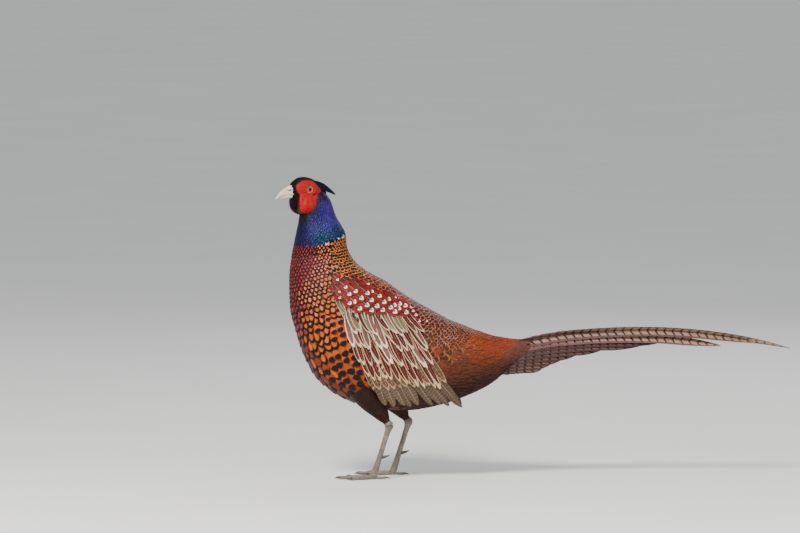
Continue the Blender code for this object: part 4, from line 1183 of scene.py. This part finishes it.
def tail_vane(centre, along, up, half, fray):
    """A cambered vane along the line, its edges in and out by the fray. Returns its points and normals."""
    columns = np.linspace(-1, 1, 9)
    edge = np.abs(columns) ** 6
    spread = half[:, None] * columns * (1 + edge * (fray[:, None] - 1))
    over = 0.3 * MM - 0.16 * half[:, None] * columns ** 2
    across = np.cross(up, along)
    grid = centre[:, None] + across[:, None] * spread[..., None] + up[:, None] * over[..., None]
    return grid, np.repeat(up[:, None], len(columns), axis=1)


def add_tail_feather(plumes, pair, sign, rng):
    """One tapered tail feather with loose barbs along its edges."""
    length, width = TAIL_PAIRS[pair]
    long = length * MM - (LEFT_MIDDLE_SHORTER if pair == 0 and sign < 0 else 0)
    u = np.linspace(0, 1, max(30, round(long / (1.5 * MM))))
    taper = (0.5 + 0.5 * np.minimum(u / 0.18, 1)) * (1 - 0.45 * u)
    taper = taper * (1 - np.clip((u - 0.80) / 0.20, 0, 1) ** 2 * 0.93)
    loose = 0.06 * ease(0.02, 0.12, u) * ease(0.85, 0.45, u) + 0.015
    fray = 1 + loose * (np.where(np.arange(len(u)) % 2, 1, -1) + rng.normal(0, 0.5, len(u)))
    grid, normals = tail_vane(*tail_line(pair, sign, long, u), width * MM / 2 * taper, fray)
    kind = "tail" if pair < 2 else "tail_outer"
    looks = looks_of(np.array([kind]), rng, 1.0, long / TAIL_BAR, 0.05)
    bake = np.array([[0.05 + 0.05 * (2 * pair + (sign > 0)), 0.5]])
    plumes.add(grid[None], normals[None], u, 0.5 * MM, looks, bake, 0.04)


def make_tail(material):
    """The tail feathers in pairs, the long middle pair on top."""
    rng = np.random.default_rng(SEED + 3)
    plumes = Plumes("tail_feathers")
    for pair in range(len(TAIL_PAIRS)):
        for sign in (1, -1):
            add_tail_feather(plumes, pair, sign, rng)
    plumes.build(material, "tail", "tail")


def tuft_line(layer, lane, sign, u, rng):
    """A tuft feather's middle line at shares u of its length, and which way is across and out there."""
    spread = 2 * lane / (TUFT_LANES - 1) - 1
    first, last = TUFT_SPANS[layer]
    last = last - 0.05 * abs(spread) + rng.uniform(-0.03, 0.01)
    along_tuft = (first + (last - first) * u)[:, None]
    path = TUFT_ROOT + (TUFT_TIP - TUFT_ROOT) * along_tuft
    aside = MM * np.array([0, 1.6 * spread, -4.2 * spread]) + rng.normal(0, 0.4 * MM, 3)
    path = path + aside * (1 - 0.8 * along_tuft)
    centre = from_head(path * (1, sign, 1)) + UPWARD * TUFT_ARCH * np.sin(np.pi * along_tuft)
    along = unit(np.gradient(centre, axis=0))
    out = LEFTWARD * sign + UPWARD * 0.35 * (1 - lane / TUFT_LANES)
    out = unit(out - along * dot(along, out)[:, None])
    centre = centre + out * TUFT_GAP * (TUFT_LAYERS - layer)
    centre = centre - out * (TUFT_SUNK * (1 - np.minimum(u / 0.25, 1)))[:, None]
    return centre, np.cross(out, along), out


def make_ear_tufts(side, material):
    """The pointed glossy feathers that stand back over the ear, short ones over the roots of longer ones."""
    rng = np.random.default_rng(SEED + 4)
    plumes = Plumes(f"ear_tuft_{side}")
    u, columns = np.linspace(0, 1, 9), np.linspace(-1, 1, 5)
    half = TUFT_HALF * (0.3 + 0.7 * np.minimum(u / 0.3, 1))
    half = half * (1 - np.clip(u - 0.35, 0, 0.63) / 0.65) ** 0.6
    for k in range(TUFT_LAYERS * TUFT_LANES):
        layer, lane = divmod(k, TUFT_LANES)
        centre, across, out = tuft_line(layer, lane, SIDES[side], u, rng)
        grid = centre[:, None] + across[:, None] * (half[:, None] * columns)[..., None]
        grid = grid - out[:, None] * (0.5 * MM * columns ** 2)[None, :, None]
        normals = np.repeat(out[:, None], len(columns), axis=1)
        bake = np.array([[0.1 + 0.2 * layer, 0.1 + 0.15 * lane]])
        plumes.add(grid[None], normals[None], u, 0.25 * MM, looks_of(np.array(["tuft"]), rng), bake, 0.03)
    plumes.build(material, "crown")


def eye_centre(side):
    depth = head_side(np.array(EYE_A), np.array(EYE_C)) - EYE_SINK
    return from_head(np.array([EYE_A, SIDES[side] * float(depth), EYE_C]))


# Rings of the red skin, from its edge to its centre, and points in each.
SKIN_RINGS, SKIN_POINTS = 76, 250


def papillae(place, rng):
    """The beads of the red skin: 1 on top of each, 0 between them."""
    span = np.arange(-45, 46) * PAPILLA_STEP
    dots = np.stack(np.meshgrid(span, span * 0.87), axis=-1)
    dots[::2, :, 0] += PAPILLA_STEP / 2
    dots = dots.reshape(-1, 2) + rng.normal(0, 0.13 * PAPILLA_STEP, (dots.size // 2, 2))
    tree = KDTree(len(dots))
    for i, (x, y) in enumerate(dots):
        tree.insert((x, y, 0), i)
    tree.balance()
    away = np.array([tree.find((x, y, 0))[2] for x, y in place.reshape(-1, 2)])
    return np.clip(1 - (away.reshape(place.shape[:-1]) / (0.62 * PAPILLA_STEP)) ** 2, 0, 1)


def skin_rise(place, share, bead):
    """How far the red skin stands off the face: domed, folded, full at the jowl and open over the eye."""
    a, c = place[..., 0], place[..., 1]
    angle = 2 * np.pi * np.arange(SKIN_POINTS) / SKIN_POINTS
    dome = np.sqrt(np.clip(1 - share ** 6, 0, 1))[:, None]
    waves = 0.20 * np.sin(7 * angle + 4 * share[:, None])
    folds = waves * (np.sin(np.pi * share) * ease(0.15, 0.6, share))[:, None]
    low = np.clip(-c / JOWL_DROP, 0, 1)
    jowl = JOWL_RISE * low * low * (3 - 2 * low) * (0.45 + 0.55 * dome)
    rise = WATTLE_RISE * (0.30 + 0.70 * dome + folds * dome) + jowl
    from_eye = np.hypot(a - EYE_A, c - EYE_C)
    rise = rise + PAPILLA_RISE * bead * ease(5.5 * MM, 8 * MM, from_eye)
    return rise - EYE_DIP * ease(LID_RING + 0.6 * MM, LID_RING - 0.8 * MM, from_eye)


def make_face_skin(side, material):
    """The bare red skin of the face, covered in small papillae, with its row of dark dots."""
    rng = np.random.default_rng(SEED + 5)
    sign = SIDES[side]
    outline = smooth_outline(SKIN_POINTS)
    share = 1 - (np.arange(SKIN_RINGS) / SKIN_RINGS) ** 1.15
    place = WATTLE_CENTRE + share[:, None, None] * (outline - WATTLE_CENTRE)
    a, c = place[..., 0], place[..., 1]
    bead = papillae(place, rng) * ease(1.0, 0.93, share)[:, None]
    depth = head_side(a, c)
    skin = from_head(np.stack([a, sign * (depth + skin_rise(place, share, bead)), c], axis=-1))
    rim = from_head(np.stack([a[:1], sign * (depth[:1] - 3 * MM), c[:1]], axis=-1))
    made = lofted(f"face_skin_{side}", np.concatenate([rim, skin]))
    dark_a, dark_c = (a - DARK_ROW_A) / (4.0 * MM), (c - DARK_ROW_C + 0.25 * a) / (1.6 * MM)
    dark = np.exp(-dark_a ** 2 - dark_c ** 2)
    first = np.zeros((1, SKIN_POINTS))
    beads, darks = (np.concatenate([first, values]).ravel() for values in (bead, dark))
    # Relief keeps the papillae's heights, from which the material paints shade between them, and the row of
    # dark dots.
    relief = np.stack([np.append(beads, (0, 1)), np.append(darks, (0, 0))], axis=-1)
    set_colours(made, "Relief", np.concatenate([relief, np.ones_like(relief)], axis=-1))
    spread = np.concatenate([outline[None] * 1.05, place]).reshape(-1, 2)
    flat = np.concatenate([spread, [WATTLE_CENTRE, WATTLE_CENTRE]])
    set_uv(made, "OFBake", 0.5 + (flat - WATTLE_CENTRE) / (75 * MM))
    declare(made, material, "wattle", f"wattle_{side}")


# Points round the eye and round the lid's thickness.
LID_TURNS, LID_ROLLS = 96, 16


def make_lid(side, material):
    """The pale wrinkled lids that hug the eyeball."""
    axis = LEFTWARD * SIDES[side]
    reach = EYE_RADIUS + LID_THICK
    centre = eye_centre(side) + axis * math.sqrt(reach ** 2 - LID_RING ** 2)
    turns, rolls = (np.linspace(0, 2 * np.pi, count + 1)[:-1] for count in (LID_TURNS, LID_ROLLS))
    turn, roll = np.meshgrid(turns, rolls, indexing="ij")
    wrinkle = 1 + 0.10 * np.sin(23 * turn) * (np.cos(roll) > -0.2)
    ring = LID_RING * (1 - 0.07 * np.abs(np.sin(turn)) ** 3) + LID_THICK * np.cos(roll) * wrinkle * 1.15
    rise = LID_THICK * np.sin(roll) * wrinkle
    radial = FORWARD * np.cos(turn)[..., None] + UPWARD * np.sin(turn)[..., None]
    points = centre + radial * ring[..., None] + axis * rise[..., None]
    quads = grid_faces(LID_TURNS + 1, LID_ROLLS, True) % (LID_TURNS * LID_ROLLS)
    made = face_outwards(new_object(f"lid_{side}", points.reshape(-1, 3), quads))
    declare(made, material, "wattle")


def make_eyeball(side, material):
    """A ball whose own axis points along the eye's gaze."""
    mesh = bmesh.new()
    bmesh.ops.create_uvsphere(mesh, u_segments=48, v_segments=32, radius=EYE_RADIUS)
    data = bpy.data.meshes.new("eyeball")
    mesh.to_mesh(data)
    mesh.free()
    data.shade_smooth()
    made = in_scene(f"eyeball_{side}", data)
    turn = Vector(LEFTWARD * SIDES[side]).to_track_quat("Z", "Y").to_matrix()
    made.matrix_world = Matrix.Translation(eye_centre(side)) @ turn.to_4x4()
    declare(made, material, "eye", f"eye_{side}")


def hump(value, middle, width):
    """1 at the middle, falling off softly on both sides of it."""
    return np.exp(-((value - middle) / width) ** 2)


def make_bill(material):
    """Upper bill with its hooked tip and nostril flaps, and lower bill."""
    turn = np.linspace(0, np.pi, 33)
    for name, table, node in (("bill_top", UPPER_BILL, "bill_upper"), ("bill_low", LOWER_BILL, "bill_lower")):
        a, top, low, width = curve_rows(table, np.linspace(0, len(table) - 1, 60)).T[..., None]
        flat, peak = (low, top) if table is UPPER_BILL else (top, low)
        b = width * np.cos(turn)
        c = flat + (peak - flat) * np.sin(turn) ** 0.85
        slit = np.zeros_like(c)
        if table is UPPER_BILL:
            flap = hump(a, 30.5 * MM, 4.0 * MM) * hump(c, 7.4 * MM, 2.0 * MM)
            slit = hump(a, 31.5 * MM, 3.2 * MM) * hump(c, 4.9 * MM, 0.9 * MM)
            b = b * (1 + 0.26 * flap - 0.30 * slit)
            b = b * (1 - 0.10 * hump(c, 0.4 * MM, 0.7 * MM))
        rings = from_head(np.stack([np.broadcast_to(a, b.shape), b, c], axis=-1))
        made = lofted(name, rings, smooth=55)
        # How deep the nostril's slit is, which the bill's material paints as shade.
        pit = np.append(np.clip(slit * 1.6, 0, 1), (0, 0))
        set_colours(made, "Relief", np.stack([pit] * 3 + [np.ones_like(pit)], axis=-1))
        declare(made, material, "bill", node)


def leg_points(side):
    """Knee inside the flank, hock, and the ball of the foot."""
    foot = FEET[side]
    knee = foot + (-KNEE_FORWARD, -math.copysign(KNEE_INWARD, foot[1]), KNEE_HEIGHT)
    return knee, foot + (HOCK_BACK, 0, HOCK_HEIGHT), foot + (2 * MM, 0, 9 * MM)


# The thigh's radii at shares of the way up from hock to knee.
THIGH_SHARES = np.array([0.12, 0.2, 0.35, 0.54, 0.76, 1.0])
THIGH_RADII = MM * np.array([5.4, 8, 12, 17.5, 22, 23])
# From root to root round the thigh, and the length and width of its feathers at the knee.
THIGH_GAP, THIGH_LENGTH, THIGH_WIDTH = 4.6 * MM, 15 * MM, 6.5 * MM


def thigh_surface(side, inset=0.0):
    """The thigh's feathered outline at q = share of the way down from knee to hock, and turn."""
    knee, hock, _ = leg_points(side)
    axis = unit(hock - knee)
    front = unit(np.cross(axis, (0.0, 1.0, 0.0)))
    across = np.cross(front, axis)

    def at(q):
        radius = np.interp(1 - q[..., 0], THIGH_SHARES, THIGH_RADII) - inset
        centre = knee + q[..., :1] * (hock - knee)
        ring = np.cos(q[..., 1:]) * front + np.sin(q[..., 1:]) * across
        return centre + ring * radius[..., None]

    return Surface(at, (SECTION_STEP, TURN_STEP))


def make_thigh_coat(side, material):
    """The drab feathers of the thigh, shorter towards the hock."""
    rng = np.random.default_rng(SEED + 6)
    surface = thigh_surface(side)
    rows = []
    for row, down in enumerate(np.linspace(0.05, 0.86, 17)):
        count = max(8, round(2 * np.pi * np.interp(1 - down, THIGH_SHARES, THIGH_RADII) / THIGH_GAP))
        turn = staggered_turns(count, row, 0.08, rng)
        rows.append(np.stack([np.full(count, down), turn], axis=-1))
    roots = np.concatenate(rows)
    roots = roots[~in_body(surface.at(roots), -3 * MM)]
    down = roots[:, 0]
    length, width = THIGH_LENGTH * (1 - 0.5 * down), THIGH_WIDTH * (1 - 0.45 * down)
    kinds = np.where(rng.uniform(0, 1, len(roots)) < 0.30 - 0.5 * down, "belly", "thigh")
    grid, outward, v = lay(surface, roots, length, width, -0.8 * MM, 0.9 * MM, rows=5, columns=3)
    plumes = Plumes(f"coat_thigh_{side}")
    bake = np.stack([roots[:, 1] / (2 * np.pi) % 1, down], axis=-1)
    plumes.add(grid, outward, v, 0.2 * MM, looks_of(kinds, rng), bake, 0.006)
    plumes.build(material, "rump")


def tube_rings(centres, radii, count=20, floor=False):
    """Rings round a bent line. radii has one value for each centre, or one for each point of its ring."""
    centres = np.asarray(centres, float)
    ahead = unit(np.gradient(centres, axis=0))
    side = np.cross(ahead, UPWARD)
    side = unit(np.where(np.linalg.norm(side, axis=1, keepdims=True) > 0.2, side, (0.0, 1.0, 0.0)))
    up = np.cross(side, ahead)
    turn = 2 * np.pi * np.arange(count) / count
    radii = np.broadcast_to(np.asarray(radii, float).reshape(len(centres), -1), (len(centres), count))
    ring = side[:, None] * np.cos(turn)[:, None] + up[:, None] * np.sin(turn)[:, None]
    points = centres[:, None] + ring * radii[..., None]
    if floor:
        points[..., 2] = np.maximum(points[..., 2], 0)
    return points


# Shares of the shank's rings above and below the hock.
ABOVE_HOCK, BELOW_HOCK = 0.18, 0.82


def make_shank(side, material):
    """The bare scaled leg from the hock to the foot."""
    knee, hock, low = leg_points(side)
    down = unit(low - hock)
    start = hock + unit(knee - hock) * (0.17 * np.linalg.norm(knee - hock))
    shares = np.linspace(0, 1, 150)[:, None]
    path = np.where(shares < ABOVE_HOCK, start + (hock - start) * shares / ABOVE_HOCK,
                    hock + (low - down * 6 * MM - hock) * (shares - ABOVE_HOCK) / BELOW_HOCK)
    even = np.ones(9) / 9
    path = np.stack([np.convolve(np.pad(line, 4, "edge"), even, "valid") for line in path.T], axis=-1)
    along = np.clip((shares - ABOVE_HOCK) / BELOW_HOCK, 0, 1)
    scute = 1 - ((along * 19) % 1) ** 2.5
    turn = 2 * np.pi * np.arange(24) / 24
    front = np.clip(np.cos(turn - np.pi / 2), 0, 1) ** 0.6
    radius = SHANK_RADIUS * (1 + 0.25 * np.abs(2 * along - 1) ** 3) + 1.9 * MM * hump(shares, 0.17, 0.07)
    made = lofted(f"shank_scales_{side}", tube_rings(path, radius * (0.97 + 0.07 * scute * front), 24))
    declare(made, material, "leg", f"shank_{side}")


def make_spur(side, material):
    """The pointed spur behind the shank."""
    _, hock, low = leg_points(side)
    root = hock + (low - hock) * SPUR_PLACE + (1.5 * MM, 0, 0)
    u = np.linspace(0, 1, 18)[:, None]
    line = root + np.concatenate([SPUR_REACH * u, 0 * u, SPUR_RISE * u ** 2], axis=-1)
    spur = lofted(f"spur_{side}", tube_rings(line, SPUR_RADIUS * (1 - u[:, 0]) ** 0.75 + SPUR_TIP, 16))
    declare(spur, material, "leg")


def make_toe(name, foot, ahead, length, radius, material):
    """A scaled toe with pads beneath. Returns where its last ring is."""
    share = np.linspace(0, 1, 70)
    pads = 3 if length > LONG_TOE else 1
    points = 20
    angle = 2 * np.pi * np.arange(points) / points
    top = np.clip(np.sin(angle), 0, 1) ** 0.7
    under = np.clip(-np.sin(angle), 0, 1)
    scales = 1 - ((share * length / TOE_SCALE) % 1) ** 2.5
    swell = 1 + 0.10 * np.cos(2 * np.pi * pads * share)
    radii = radius * (1 - 0.28 * share) * swell
    radii = radii[:, None] * (1 + 0.06 * scales[:, None] * top + 0.10 * under * (swell[:, None] - 0.95))
    centres = foot + UPWARD * (radius * 0.8) + ahead * (length * share)[:, None]
    centres = centres - UPWARD * (0.22 * radius * share)[:, None]
    declare(lofted(name, tube_rings(centres, radii, points, True)), material, "leg")
    return centres[-1]


def make_claw(name, end, ahead, radius, material):
    """A claw that curves down from the end of its toe."""
    u = np.linspace(-0.25, 1, 20)[:, None]
    line = end + ahead * (CLAW_LENGTH * u) + UPWARD * (MM * (0.9 - 1.9 * u ** 2))
    size = radius * 0.62 * np.clip(1 - np.clip(u[:, 0], 0, 1) ** 1.4, 0.06, 1)
    declare(lofted(name, tube_rings(line, size, 14, True)), material, "leg")


def make_foot(side, material, horn):
    """The ankle, the scaled toes and their claws."""
    foot = FEET[side]
    _, hock, low = leg_points(side)
    down = unit(low - hock)
    u = np.linspace(0, 1, 24)[:, None]
    ankle = (low - down * 10 * MM) * (1 - u) + (low + MM * np.array([-2, 0, -4.5])) * u
    radii = np.interp(u[:, 0], (0, 0.5, 1), (4.4 * MM, 5.0 * MM, 5.2 * MM))
    made = lofted(f"ankle_{side}", tube_rings(ankle, radii, 20, True))
    declare(made, material, "leg", f"foot_{side}")
    for index, (turn, length, radius) in enumerate(TOES):
        heading = math.radians(turn) * SIDES[side]
        ahead = np.array([-math.cos(heading), math.sin(heading), 0])
        length, radius = length * MM, radius * MM
        end = make_toe(f"toe_{side}_{index}", foot, ahead, length, radius, material)
        make_claw(f"claw_{side}_{index}", end, ahead, radius, horn)


SKIN_INSET, SKIN_VOXEL = 4.0 * MM, 2.2 * MM


def skin_pieces():
    """Head, neck and body, and thighs, a little inside the roots of the feathers."""
    turn = np.linspace(0, 2 * np.pi, 65)[:-1]

    def grid(along):
        return np.stack(np.meshgrid(along, turn, indexing="ij"), axis=-1)

    q = grid(np.linspace(0, 18.6, 90))
    inset = -SKIN_INSET + 2.4 * MM * ease(4.2, 2.0, q[..., 0]) + 1.5 * MM * ease(15, 18, q[..., 0])
    yield lofted("skin_body", body_at(q, inset))
    yield lofted("skin_head", head_at(grid(np.linspace(-25.5, 32, 50) * MM), -0.9 * MM))
    for side in SIDES:
        yield lofted("skin_thigh", thigh_surface(side, 2.0 * MM).at(grid(np.linspace(0.0, 0.9, 24))))


def melted(name, pieces):
    """The pieces as one smooth closed mesh."""
    rough, *others = pieces
    mesh = bmesh.new()
    for piece in (rough, *others):
        mesh.from_mesh(piece.data)
    mesh.to_mesh(rough.data)
    mesh.free()
    for piece in others:
        bpy.data.objects.remove(piece)
    remesh = rough.modifiers.new("join", "REMESH")
    remesh.mode = "VOXEL"
    remesh.voxel_size = SKIN_VOXEL
    relax = rough.modifiers.new("relax", "SMOOTH")
    relax.factor, relax.iterations = 0.5, 6
    graph = bpy.context.evaluated_depsgraph_get()
    data = bpy.data.meshes.new_from_object(rough.evaluated_get(graph))
    bpy.data.objects.remove(rough)
    data.shade_smooth()
    return in_scene(name, data)


def make_skin(material):
    """One skin under the feathers of head, neck, body, thighs and the roots of wings and tail."""
    skin = melted("skin", skin_pieces())
    points = np.zeros(len(skin.data.vertices) * 3)
    skin.data.vertices.foreach_get("co", points)
    points = points.reshape(-1, 3)
    t, up, width = side_place(points[:, (0, 2)])
    turn = np.arctan2(-points[:, 1] / width, up)
    rng = np.random.default_rng(SEED + 7)
    kinds, _ = kinds_on_body(t, turn, rng)
    a, _, c = np.moveaxis(to_head(points), -1, 0)
    kinds = np.where(in_head(points, 1 * MM), kinds_on_head(a, c), kinds)
    kinds = np.where(points[:, 2] < 96 * MM, "thigh", kinds)
    colours = looks_of(kinds, rng, vary=0.03)["Base"][:, :3]
    set_colours(skin, "Base", np.concatenate([colours, np.ones((len(colours), 1))], axis=-1))
    set_uv(skin, "OFBake", np.stack([turn / (2 * np.pi) % 1, np.clip(t / 20 + 0.02, 0, 1)], axis=-1))
    nodes = ("head", "neck", "torso", "rump", "thigh_left", "thigh_right")
    declare(skin, material, "breast", *nodes)


def skin_material():
    g = Graph("skin", Roughness=0.6)
    base, _ = g.attribute("Base")
    down = g.noise(900, 3)
    g.bump(down, 0.5, 0.4 * MM)
    # Painted shade: the coat's colours on the skin are drawn 0.3 to 0.8 of the way to near-black by fine
    # noise, for the shade under the feathers.
    return g.colour(g.mix(g.math("MULTIPLY_ADD", down, 0.5, 0.3), base, FEATHER_DARK))


def face_material():
    """Bright red bare skin: darker in painted shade between its papillae and along its rim, full red on their
    tops, with patches of painted highlight and a moist gloss.
    """
    g = Graph("face_red", Roughness=0.55, Specular_IOR_Level=0.2)
    relief, _ = g.attribute("Relief")
    height, dark, _ = g.split(relief)
    patches = g.noise(140, 3)
    # Painted shade: the red darkens where the papillae's heights fall away, in the hollows between them and
    # along the rim where they fade.
    paint = g.mix(g.ease(height, 0.05, 0.8), linear((62, 0, 3)), linear((164, 0, 3)))
    # Painted highlight: soft patches of brighter red.
    paint = g.mix(g.times(g.ease(patches, 0.5, 0.75), 0.35), paint, linear((188, 5, 5)))
    paint = g.mix(g.ease(g.math("ADD", dark, g.noise(900, 2)), 1.0, 1.12), paint, linear((8, 7, 18)))
    fine = g.cells(2600)
    g.bump(g.math("ADD", fine, patches), 0.35, 0.2 * MM)
    return g.colour(paint)


def lid_material():
    g = Graph("lid", Roughness=0.5)
    speckle = g.noise(900, 3)
    g.bump(speckle, 0.5, 0.2 * MM)
    return g.colour(g.mix(g.ease(speckle, 0.4, 0.7), linear((168, 128, 118)), linear((112, 62, 60))))


def eye_material():
    """Amber iris with fine rays, round dark pupil and a clear wet front, by the ball's own axis."""
    g = Graph("eye", Roughness=0.4, Specular_IOR_Level=0.05, Coat_Weight=0.35, Coat_Roughness=0.02)
    x, y, _ = g.place_parts()
    radius = g.math("SQRT", g.math("ADD", g.times(x, x), g.times(y, y)))
    rays = g.noise(1.0, 3, g.vector(g.times(g.math("ARCTAN2", y, x), 9.0), g.times(radius, 600.0)))
    iris = g.mix(g.ease(rays, 0.3, 0.7), linear((84, 50, 28)), linear((160, 112, 70)))
    iris = g.mix(g.ease(radius, 3.9 * MM, 4.6 * MM), iris, linear((30, 16, 12)))
    iris = g.mix(g.ease(radius, 2.5 * MM, 2.25 * MM), iris, linear((2, 2, 2)))
    return g.colour(iris)


def bill_material():
    """Pale horn with fine growth lines, greyer in soft patches, and painted shade in the slit of the nostril.
    """
    g = Graph("bill", Roughness=0.34, Coat_Weight=0.15, Coat_Roughness=0.3)
    x, y, z = g.place_parts()
    streaks = g.noise(1.0, 3, g.vector(g.times(x, 500.0), g.times(y, 500.0), g.times(z, 1600.0)))
    paint = g.mix(g.ease(streaks, 0.3, 0.75), linear((196, 182, 160)), linear((222, 210, 190)))
    paint = g.mix(g.times(g.ease(g.noise(90, 2), 0.45, 0.7), 0.5), paint, linear((158, 142, 142)))
    relief, _ = g.attribute("Relief")
    # Painted shade: the slit of the nostril goes near-black.
    paint = g.mix(g.split(relief)[0], paint, linear((34, 26, 24)))
    g.bump(streaks, 0.25, 0.2 * MM)
    return g.colour(paint)


def leg_material():
    """Grey-brown scaled skin."""
    g = Graph("leg_scales", Roughness=0.48)
    edges = g.cells(480, "DISTANCE_TO_EDGE")
    patches = g.noise(80, 3)
    paint = g.mix(g.ease(patches, 0.35, 0.7), linear((112, 100, 88)), linear((142, 130, 114)))
    paint = g.mix(g.ease(edges, 0.10, 0.02), paint, linear((74, 64, 56)))
    g.bump(g.ease(edges, 0.0, 0.16), 0.5, 0.25 * MM)
    return g.colour(paint)


def horn_material():
    g = Graph("claw_horn", Roughness=0.35, Coat_Weight=0.1)
    streaks = g.noise(420, 3)
    g.bump(streaks, 0.3, 0.15 * MM)
    return g.colour(g.mix(g.ease(streaks, 0.35, 0.7), linear((48, 40, 35)), linear((92, 80, 70))))


def floor_material():
    g = Graph("floor", Roughness=0.85)
    paint = g.mix(g.noise(3, 2), linear((226, 226, 222)), linear((236, 236, 232)))
    return g.colour(paint)


def area_light(name, place, aim, size, power, colour=(1, 1, 1)):
    light = bpy.data.lights.new(name, "AREA")
    light.shape = "DISK"
    light.size, light.energy, light.color = size, power, colour
    made = in_scene(name, light)
    made.location = place
    made.rotation_euler = (Vector(aim) - Vector(place)).to_track_quat("-Z", "Y").to_euler()


def make_stage():
    """Pale floor, soft light from over the camera's left shoulder, and the photograph's view."""
    bpy.ops.mesh.primitive_circle_add(vertices=96, radius=60, fill_type="NGON", location=(0, 0, 0))
    floor = bpy.context.object
    floor.name = "floor"
    floor.data.materials.append(floor_material())
    floor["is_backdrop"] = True
    world = bpy.data.worlds.new("studio")
    world.use_nodes = True
    world.node_tree.nodes["Background"].inputs["Color"].default_value = (0.84, 0.87, 0.90, 1)
    world.node_tree.nodes["Background"].inputs["Strength"].default_value = 0.7
    bpy.context.scene.world = world
    middle = (-0.2, 0, 0.25)
    area_light("key", (-1.1, -1.9, 2.3), middle, 0.9, 130, (1.0, 0.97, 0.93))
    area_light("fill", (1.5, -1.6, 1.0), middle, 1.6, 16)
    area_light("back", (0.6, 2.2, 1.8), middle, 1.3, 16, (0.95, 0.98, 1.0))
    camera = bpy.data.cameras.new("camera")
    camera.lens, camera.sensor_width = VIEW_LENS, VIEW_SENSOR
    camera.clip_end = 200
    made = in_scene("camera", camera)
    back = Vector((0, -math.cos(VIEW_ELEVATION), math.sin(VIEW_ELEVATION)))
    made.location = VIEW_AIM + back * VIEW_DISTANCE
    made.rotation_euler = (-back).to_track_quat("-Z", "Y").to_euler()
    bpy.context.scene.camera = made


def main():
    dull = dict(Roughness=0.6, Specular_IOR_Level=0.2)
    materials = {
        "neck": feather_material("feathers_neck", Metallic=0.35, Roughness=0.4, Specular_IOR_Level=0.2),
        "breast": feather_material("feathers_body", Roughness=0.5, Specular_IOR_Level=0.2),
        "rump": feather_material("feathers_rump", blunt=0.3, **dull),
        "wing": feather_material("feathers_wing", blunt=0.62, barred=True, **dull),
        "tail": feather_material("feathers_tail", blunt=0.99, barred=True, **dull),
        "crown": feather_material("feathers_head", Roughness=0.6, Specular_IOR_Level=0.1),
    }
    make_skin(skin_material())
    make_body_coat(materials)
    make_head_coat(materials["crown"])
    face, lid, eye = face_material(), lid_material(), eye_material()
    leg, horn = leg_material(), horn_material()
    for side in SIDES:
        make_wing(side, materials["wing"])
        make_ear_tufts(side, materials["crown"])
        make_face_skin(side, face)
        make_lid(side, lid)
        make_eyeball(side, eye)
        make_thigh_coat(side, materials["rump"])
        make_shank(side, leg)
        make_spur(side, horn)
        make_foot(side, leg, horn)
    make_tail(materials["tail"])
    make_bill(bill_material())
    make_stage()
    boxes = {"cad": CAD_BOX, "visual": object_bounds()}
    {key: [list(corner) for corner in box] for key, box in boxes.items()}


main()
